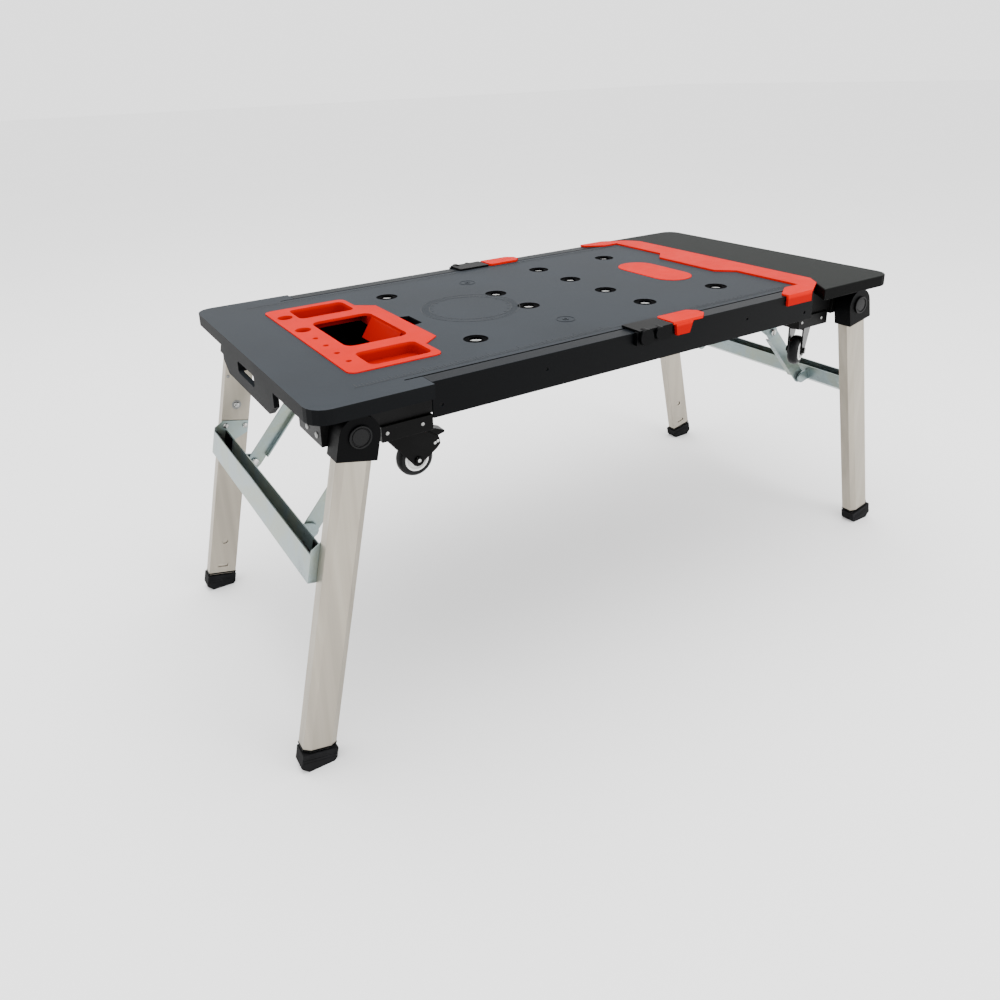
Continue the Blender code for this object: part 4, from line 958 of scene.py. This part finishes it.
class BENCH_OT_buttons(bpy.types.Operator):
    """Domed spring buttons that lock the leg length"""
    bl_idname = "bench.buttons"
    bl_label = "Spring buttons"

    def execute(self, context):
        f = finishes()
        for corner in CORNERS:
            side, sign = corner.split("_")[0], side_sign(corner)
            node = corner + "_spring_button"
            shape = [(0.0, 0.0), (0.0050, 0.0), (0.0050, 0.0034)]
            shape += [(0.0050 * math.cos(math.radians(a)), 0.0034 + 0.0010 * math.sin(math.radians(a)))
                      for a in (18, 36, 54, 72, 90)]
            at = (0, sign * (LEG_INNER + 0.0016), -BUTTON_DROP)
            piece = add_mesh(node + "_piece", on_leg(turned(shape, at, (0, -sign, 0), 32), side), f["steel"],
                             body_of_node(node))
            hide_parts(node)
            collar = [(0.0056, 0.0), (0.0085, 0.0), (0.0082, 0.0006), (0.0058, 0.0007)]
            ring = on_leg(turned(collar, (0, sign * LEG_INNER, -BUTTON_DROP), (0, -sign, 0), 36, True), side)
            add_mesh(corner + "_button_collar", ring, f["dull"], body_of_node(corner + "_outer_leg"))
        return {"FINISHED"}


class BENCH_OT_channels(bpy.types.Operator):
    """Plated cross channels with their rivets and black end clips"""
    bl_idname = "bench.channels"
    bl_label = "Cross channels"

    def execute(self, context):
        f = finishes()
        for side in SIDES:
            node = side + "_cross_channel"
            finish_node(node, f["zinc"], looks().sheet_radius)
            rivets, clips = [], []
            for sign in (-1, 1):
                flange = sign * (LEG_INNER - 0.0021)
                rivets += [dome((x, flange - sign * 0.0014, -0.161), (0, -sign, 0), 0.0047, 0.0017)
                           for x in (-0.0165, 0.0175)]
                rivets.append(dome((0.005, sign * 0.1262, -0.188), (0, -sign, 0), 0.0062, 0.0018))
                near, far = sorted((sign * 0.196, sign * 0.233))
                clips += [((-0.0338, near, -0.1960), (-0.0310, far, -0.1700)),
                          ((-0.0310, near, -0.1960), (-0.0172, far, -0.1935)),
                          ((-0.0172, near, -0.1960), (-0.0152, far, -0.1700))]
            add_mesh(side + "_channel_rivets", on_leg(merged(rivets), side), f["steel"], body_of_node(node))
            clip = add_mesh(side + "_channel_clips", on_leg(boxes(clips), side), f["plastic"],
                            body_of_node(node))
            soften(clip, 0.0004, 1)
        return {"FINISHED"}


class BENCH_OT_stays(bpy.types.Operator):
    """Folding stay links with their knee rivets"""
    bl_idname = "bench.stays"
    bl_label = "Stays"

    def execute(self, context):
        f = finishes()
        for corner in CORNERS:
            side, sign = corner.split("_")[0], side_sign(corner)
            for level in ("lower", "upper"):
                node = corner + "_" + level + "_stay"
                finish_node(node, f["zinc"], looks().sheet_radius)
            at = Vector((KNEE.x, sign * 0.1265, KNEE.z))
            add_mesh(corner + "_lower_knee_head", on_end(dome(at, (0, -sign, 0), 0.0062, 0.0018), side),
                     f["steel"], body_of_node(corner + "_lower_stay"))
            at = Vector((KNEE.x, sign * 0.1370, KNEE.z))
            add_mesh(corner + "_upper_knee_head", on_end(dome(at, (0, sign, 0), 0.0062, 0.0018), side),
                     f["steel"], body_of_node(corner + "_upper_stay"))
        return {"FINISHED"}


class BENCH_OT_casters(bpy.types.Operator):
    """Caster mounts, forks, brake pedals and their bolts"""
    bl_idname = "bench.casters"
    bl_label = "Casters"

    def execute(self, context):
        f = finishes()
        for corner in CORNERS:
            mount = corner + "_caster_mount"
            finish_node(mount, f["caster"], 0.0010)
            finish_node(corner + "_caster_fork", f["caster"], 0.0006, (), 2, False)
            low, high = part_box(mount)
            bolts = []
            for x in (low.x + 0.008, high.x - 0.016):
                for y, way in ((low.y, -1), (high.y, 1)):
                    bolts.append(dome((x, y, TOP - 0.071), (0, way, 0), 0.0028, 0.0014))
            for x in (low.x + 0.009, high.x - 0.009):
                for y in (low.y + 0.009, high.y - 0.009):
                    bolts.append(hex_head((x, y, TOP - 0.083), (0, 0, -1), 0.0042, 0.0010))
            add_mesh(corner + "_mount_bolts", merged(bolts), f["dull"], "deck")
            if corner + "_brake_pedal" in frame["nodes"]:
                finish_node(corner + "_brake_pedal", f["caster"], 0.0007)
        return {"FINISHED"}


def wheel_place(corner):
    """Where a caster's axle is, and which way it points."""
    side, place = corner.split("_")
    across, along = (-1 if side == "left" else 1), (-1 if place == "front" else 1)
    centre = Vector((across * CASTER.x, along * CASTER.y, 0))
    turn = math.radians(SWIVELS[corner])
    trail = Vector((math.cos(turn), math.sin(turn), 0))
    axle = centre + trail * TRAIL
    axle.z = TOP - WHEEL_DROP
    return axle, Vector((-math.sin(turn), math.cos(turn), 0)), trail


class BENCH_OT_wheels(bpy.types.Operator):
    """Caster wheels: tyre, white hub with its ring and web, and the axle's nuts"""
    bl_idname = "bench.wheels"
    bl_label = "Wheels"

    def execute(self, context):
        f, steps = finishes(), looks().turn_steps + 16
        for corner in CORNERS:
            node = corner + "_caster_wheel"
            axle, across, trail = wheel_place(corner)
            tyre = [(0.0178, 0.0078), (0.0190, 0.0088), (0.0225, 0.0086), (0.0250, 0.0066), (0.0263, 0.0036),
                    (0.0265, 0.0), (0.0263, -0.0036), (0.0250, -0.0066), (0.0225, -0.0086), (0.0190, -0.0088),
                    (0.0178, -0.0078)]
            piece = add_mesh(node + "_tyre", turned(tyre, axle, across, steps, True), f["tyre"],
                             body_of_node(node))
            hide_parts(node)
            half = [(0.0036, 0.0094), (0.0070, 0.0094), (0.0080, 0.0086), (0.0084, 0.0064), (0.0140, 0.0060),
                    (0.0146, 0.0088), (0.0152, 0.0094), (0.0172, 0.0094), (0.0179, 0.0086), (0.0180, 0.0070)]
            hub = half + [(radius, -height) for radius, height in reversed(half)]
            add_mesh(node + "_hub", turned(hub, axle, across, steps, True), f["hub"], body_of_node(node))
            nuts = [hex_head(axle + across * way * 0.0131, across * way, 0.0050, 0.0022) for way in (-1, 1)]
            add_mesh(corner + "_axle_nuts", merged(nuts), f["steel"], body_of_node(corner + "_caster_fork"))
            if corner in ("left_front", "left_back"):
                heads = []
                for way in (-1, 1):
                    for along, drop, radius in ((0.0452, 0.1095, 0.0024), (0.0497, 0.1075, 0.0024)):
                        at = axle + trail * (along - TRAIL) + across * way * 0.0128
                        at.z = TOP - drop
                        heads.append(dome(at, across * way, radius, 0.0012, 20))
                add_mesh(corner + "_fork_rivets", merged(heads), f["steel"],
                         body_of_node(corner + "_caster_fork"))
        return {"FINISHED"}


class BENCH_OT_stage(bpy.types.Operator):
    """Pale floor, soft studio light and the camera"""
    bl_idname = "bench.stage"
    bl_label = "Stage"

    def execute(self, context):
        scene = context.scene
        floor = boxes([((-30, -30, -0.02), (30, 30, -0.0002))])
        made = bpy.data.objects.new("floor", floor)
        scene.collection.objects.link(made)
        floor.materials.append(plain_floor("floor_paint", looks().floor_colour))
        world = bpy.data.worlds.new("studio")
        world.use_nodes = True
        sky = world.node_tree.nodes["Background"]
        sky.inputs["Color"].default_value = (1.0, 1.0, 1.0, 1.0)
        sky.inputs["Strength"].default_value = 2.1
        scene.world = world
        self.add_light("top_softbox", (-0.2, 0.3, 3.2), (0.0, 0.0, 0.3), 3.2, 120.0)
        self.add_light("front_softbox", (1.2, -2.8, 1.3), (0.0, 0.0, 0.25), 1.6, 50.0)
        lens = bpy.data.cameras.new("camera")
        lens.lens = 29.431
        lens.sensor_width = 36.0
        lens.shift_x = 0.0359
        lens.shift_y = -0.1375
        lens.clip_start = 0.05
        camera = bpy.data.objects.new("camera", lens)
        scene.collection.objects.link(camera)
        forward = Vector((0.4706, 0.8170, -0.3332)).normalized()
        up = Vector((0.2002, 0.2689, 0.9421))
        right = forward.cross(up).normalized()
        up = right.cross(forward)
        turn = Matrix((right, up, -forward)).transposed().to_4x4()
        camera.matrix_world = Matrix.Translation((-0.8307, -1.1265, TOP + 0.3658)) @ turn
        scene.camera = camera
        return {"FINISHED"}

    def add_light(self, name, place, target, size, power):
        lamp = bpy.data.lights.new(name, "AREA")
        lamp.energy = power
        lamp.size = size
        made = bpy.data.objects.new(name, lamp)
        bpy.context.scene.collection.objects.link(made)
        made.location = place
        made.rotation_euler = (Vector(target) - Vector(place)).to_track_quat("-Z", "Y").to_euler()


PIECES = (BENCH_OT_deck, BENCH_OT_end_panel, BENCH_OT_tray, BENCH_OT_tool_well, BENCH_OT_orange_trim,
          BENCH_OT_rails, BENCH_OT_brackets, BENCH_OT_stops, BENCH_OT_frame_beams, BENCH_OT_cross_rods,
          BENCH_OT_knuckles, BENCH_OT_legs, BENCH_OT_feet, BENCH_OT_buttons, BENCH_OT_channels,
          BENCH_OT_stays, BENCH_OT_casters, BENCH_OT_wheels, BENCH_OT_stage)


class BENCH_PT_looks(bpy.types.Panel):
    """Sidebar panel with the bench's settings and its pieces"""
    bl_idname = "BENCH_PT_looks"
    bl_label = "Work Platform Bench"
    bl_space_type = "VIEW_3D"
    bl_region_type = "UI"
    bl_category = "Bench"

    def draw(self, context):
        for name in BenchLooks.__annotations__:
            self.layout.prop(context.scene.bench_looks, name)
        for piece in PIECES:
            self.layout.operator(piece.bl_idname)


CLASSES = (BenchLooks, *PIECES, BENCH_PT_looks)


def register():
    for kind in CLASSES:
        bpy.utils.register_class(kind)
    bpy.types.Scene.bench_looks = PointerProperty(type=BenchLooks)


def unregister():
    del bpy.types.Scene.bench_looks
    for kind in reversed(CLASSES):
        bpy.utils.unregister_class(kind)


def main():
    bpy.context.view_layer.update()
    register()
    for piece in PIECES:
        group, name = piece.bl_idname.split(".")
        getattr(getattr(bpy.ops, group), name)()


if __name__ == "__main__":
    main()
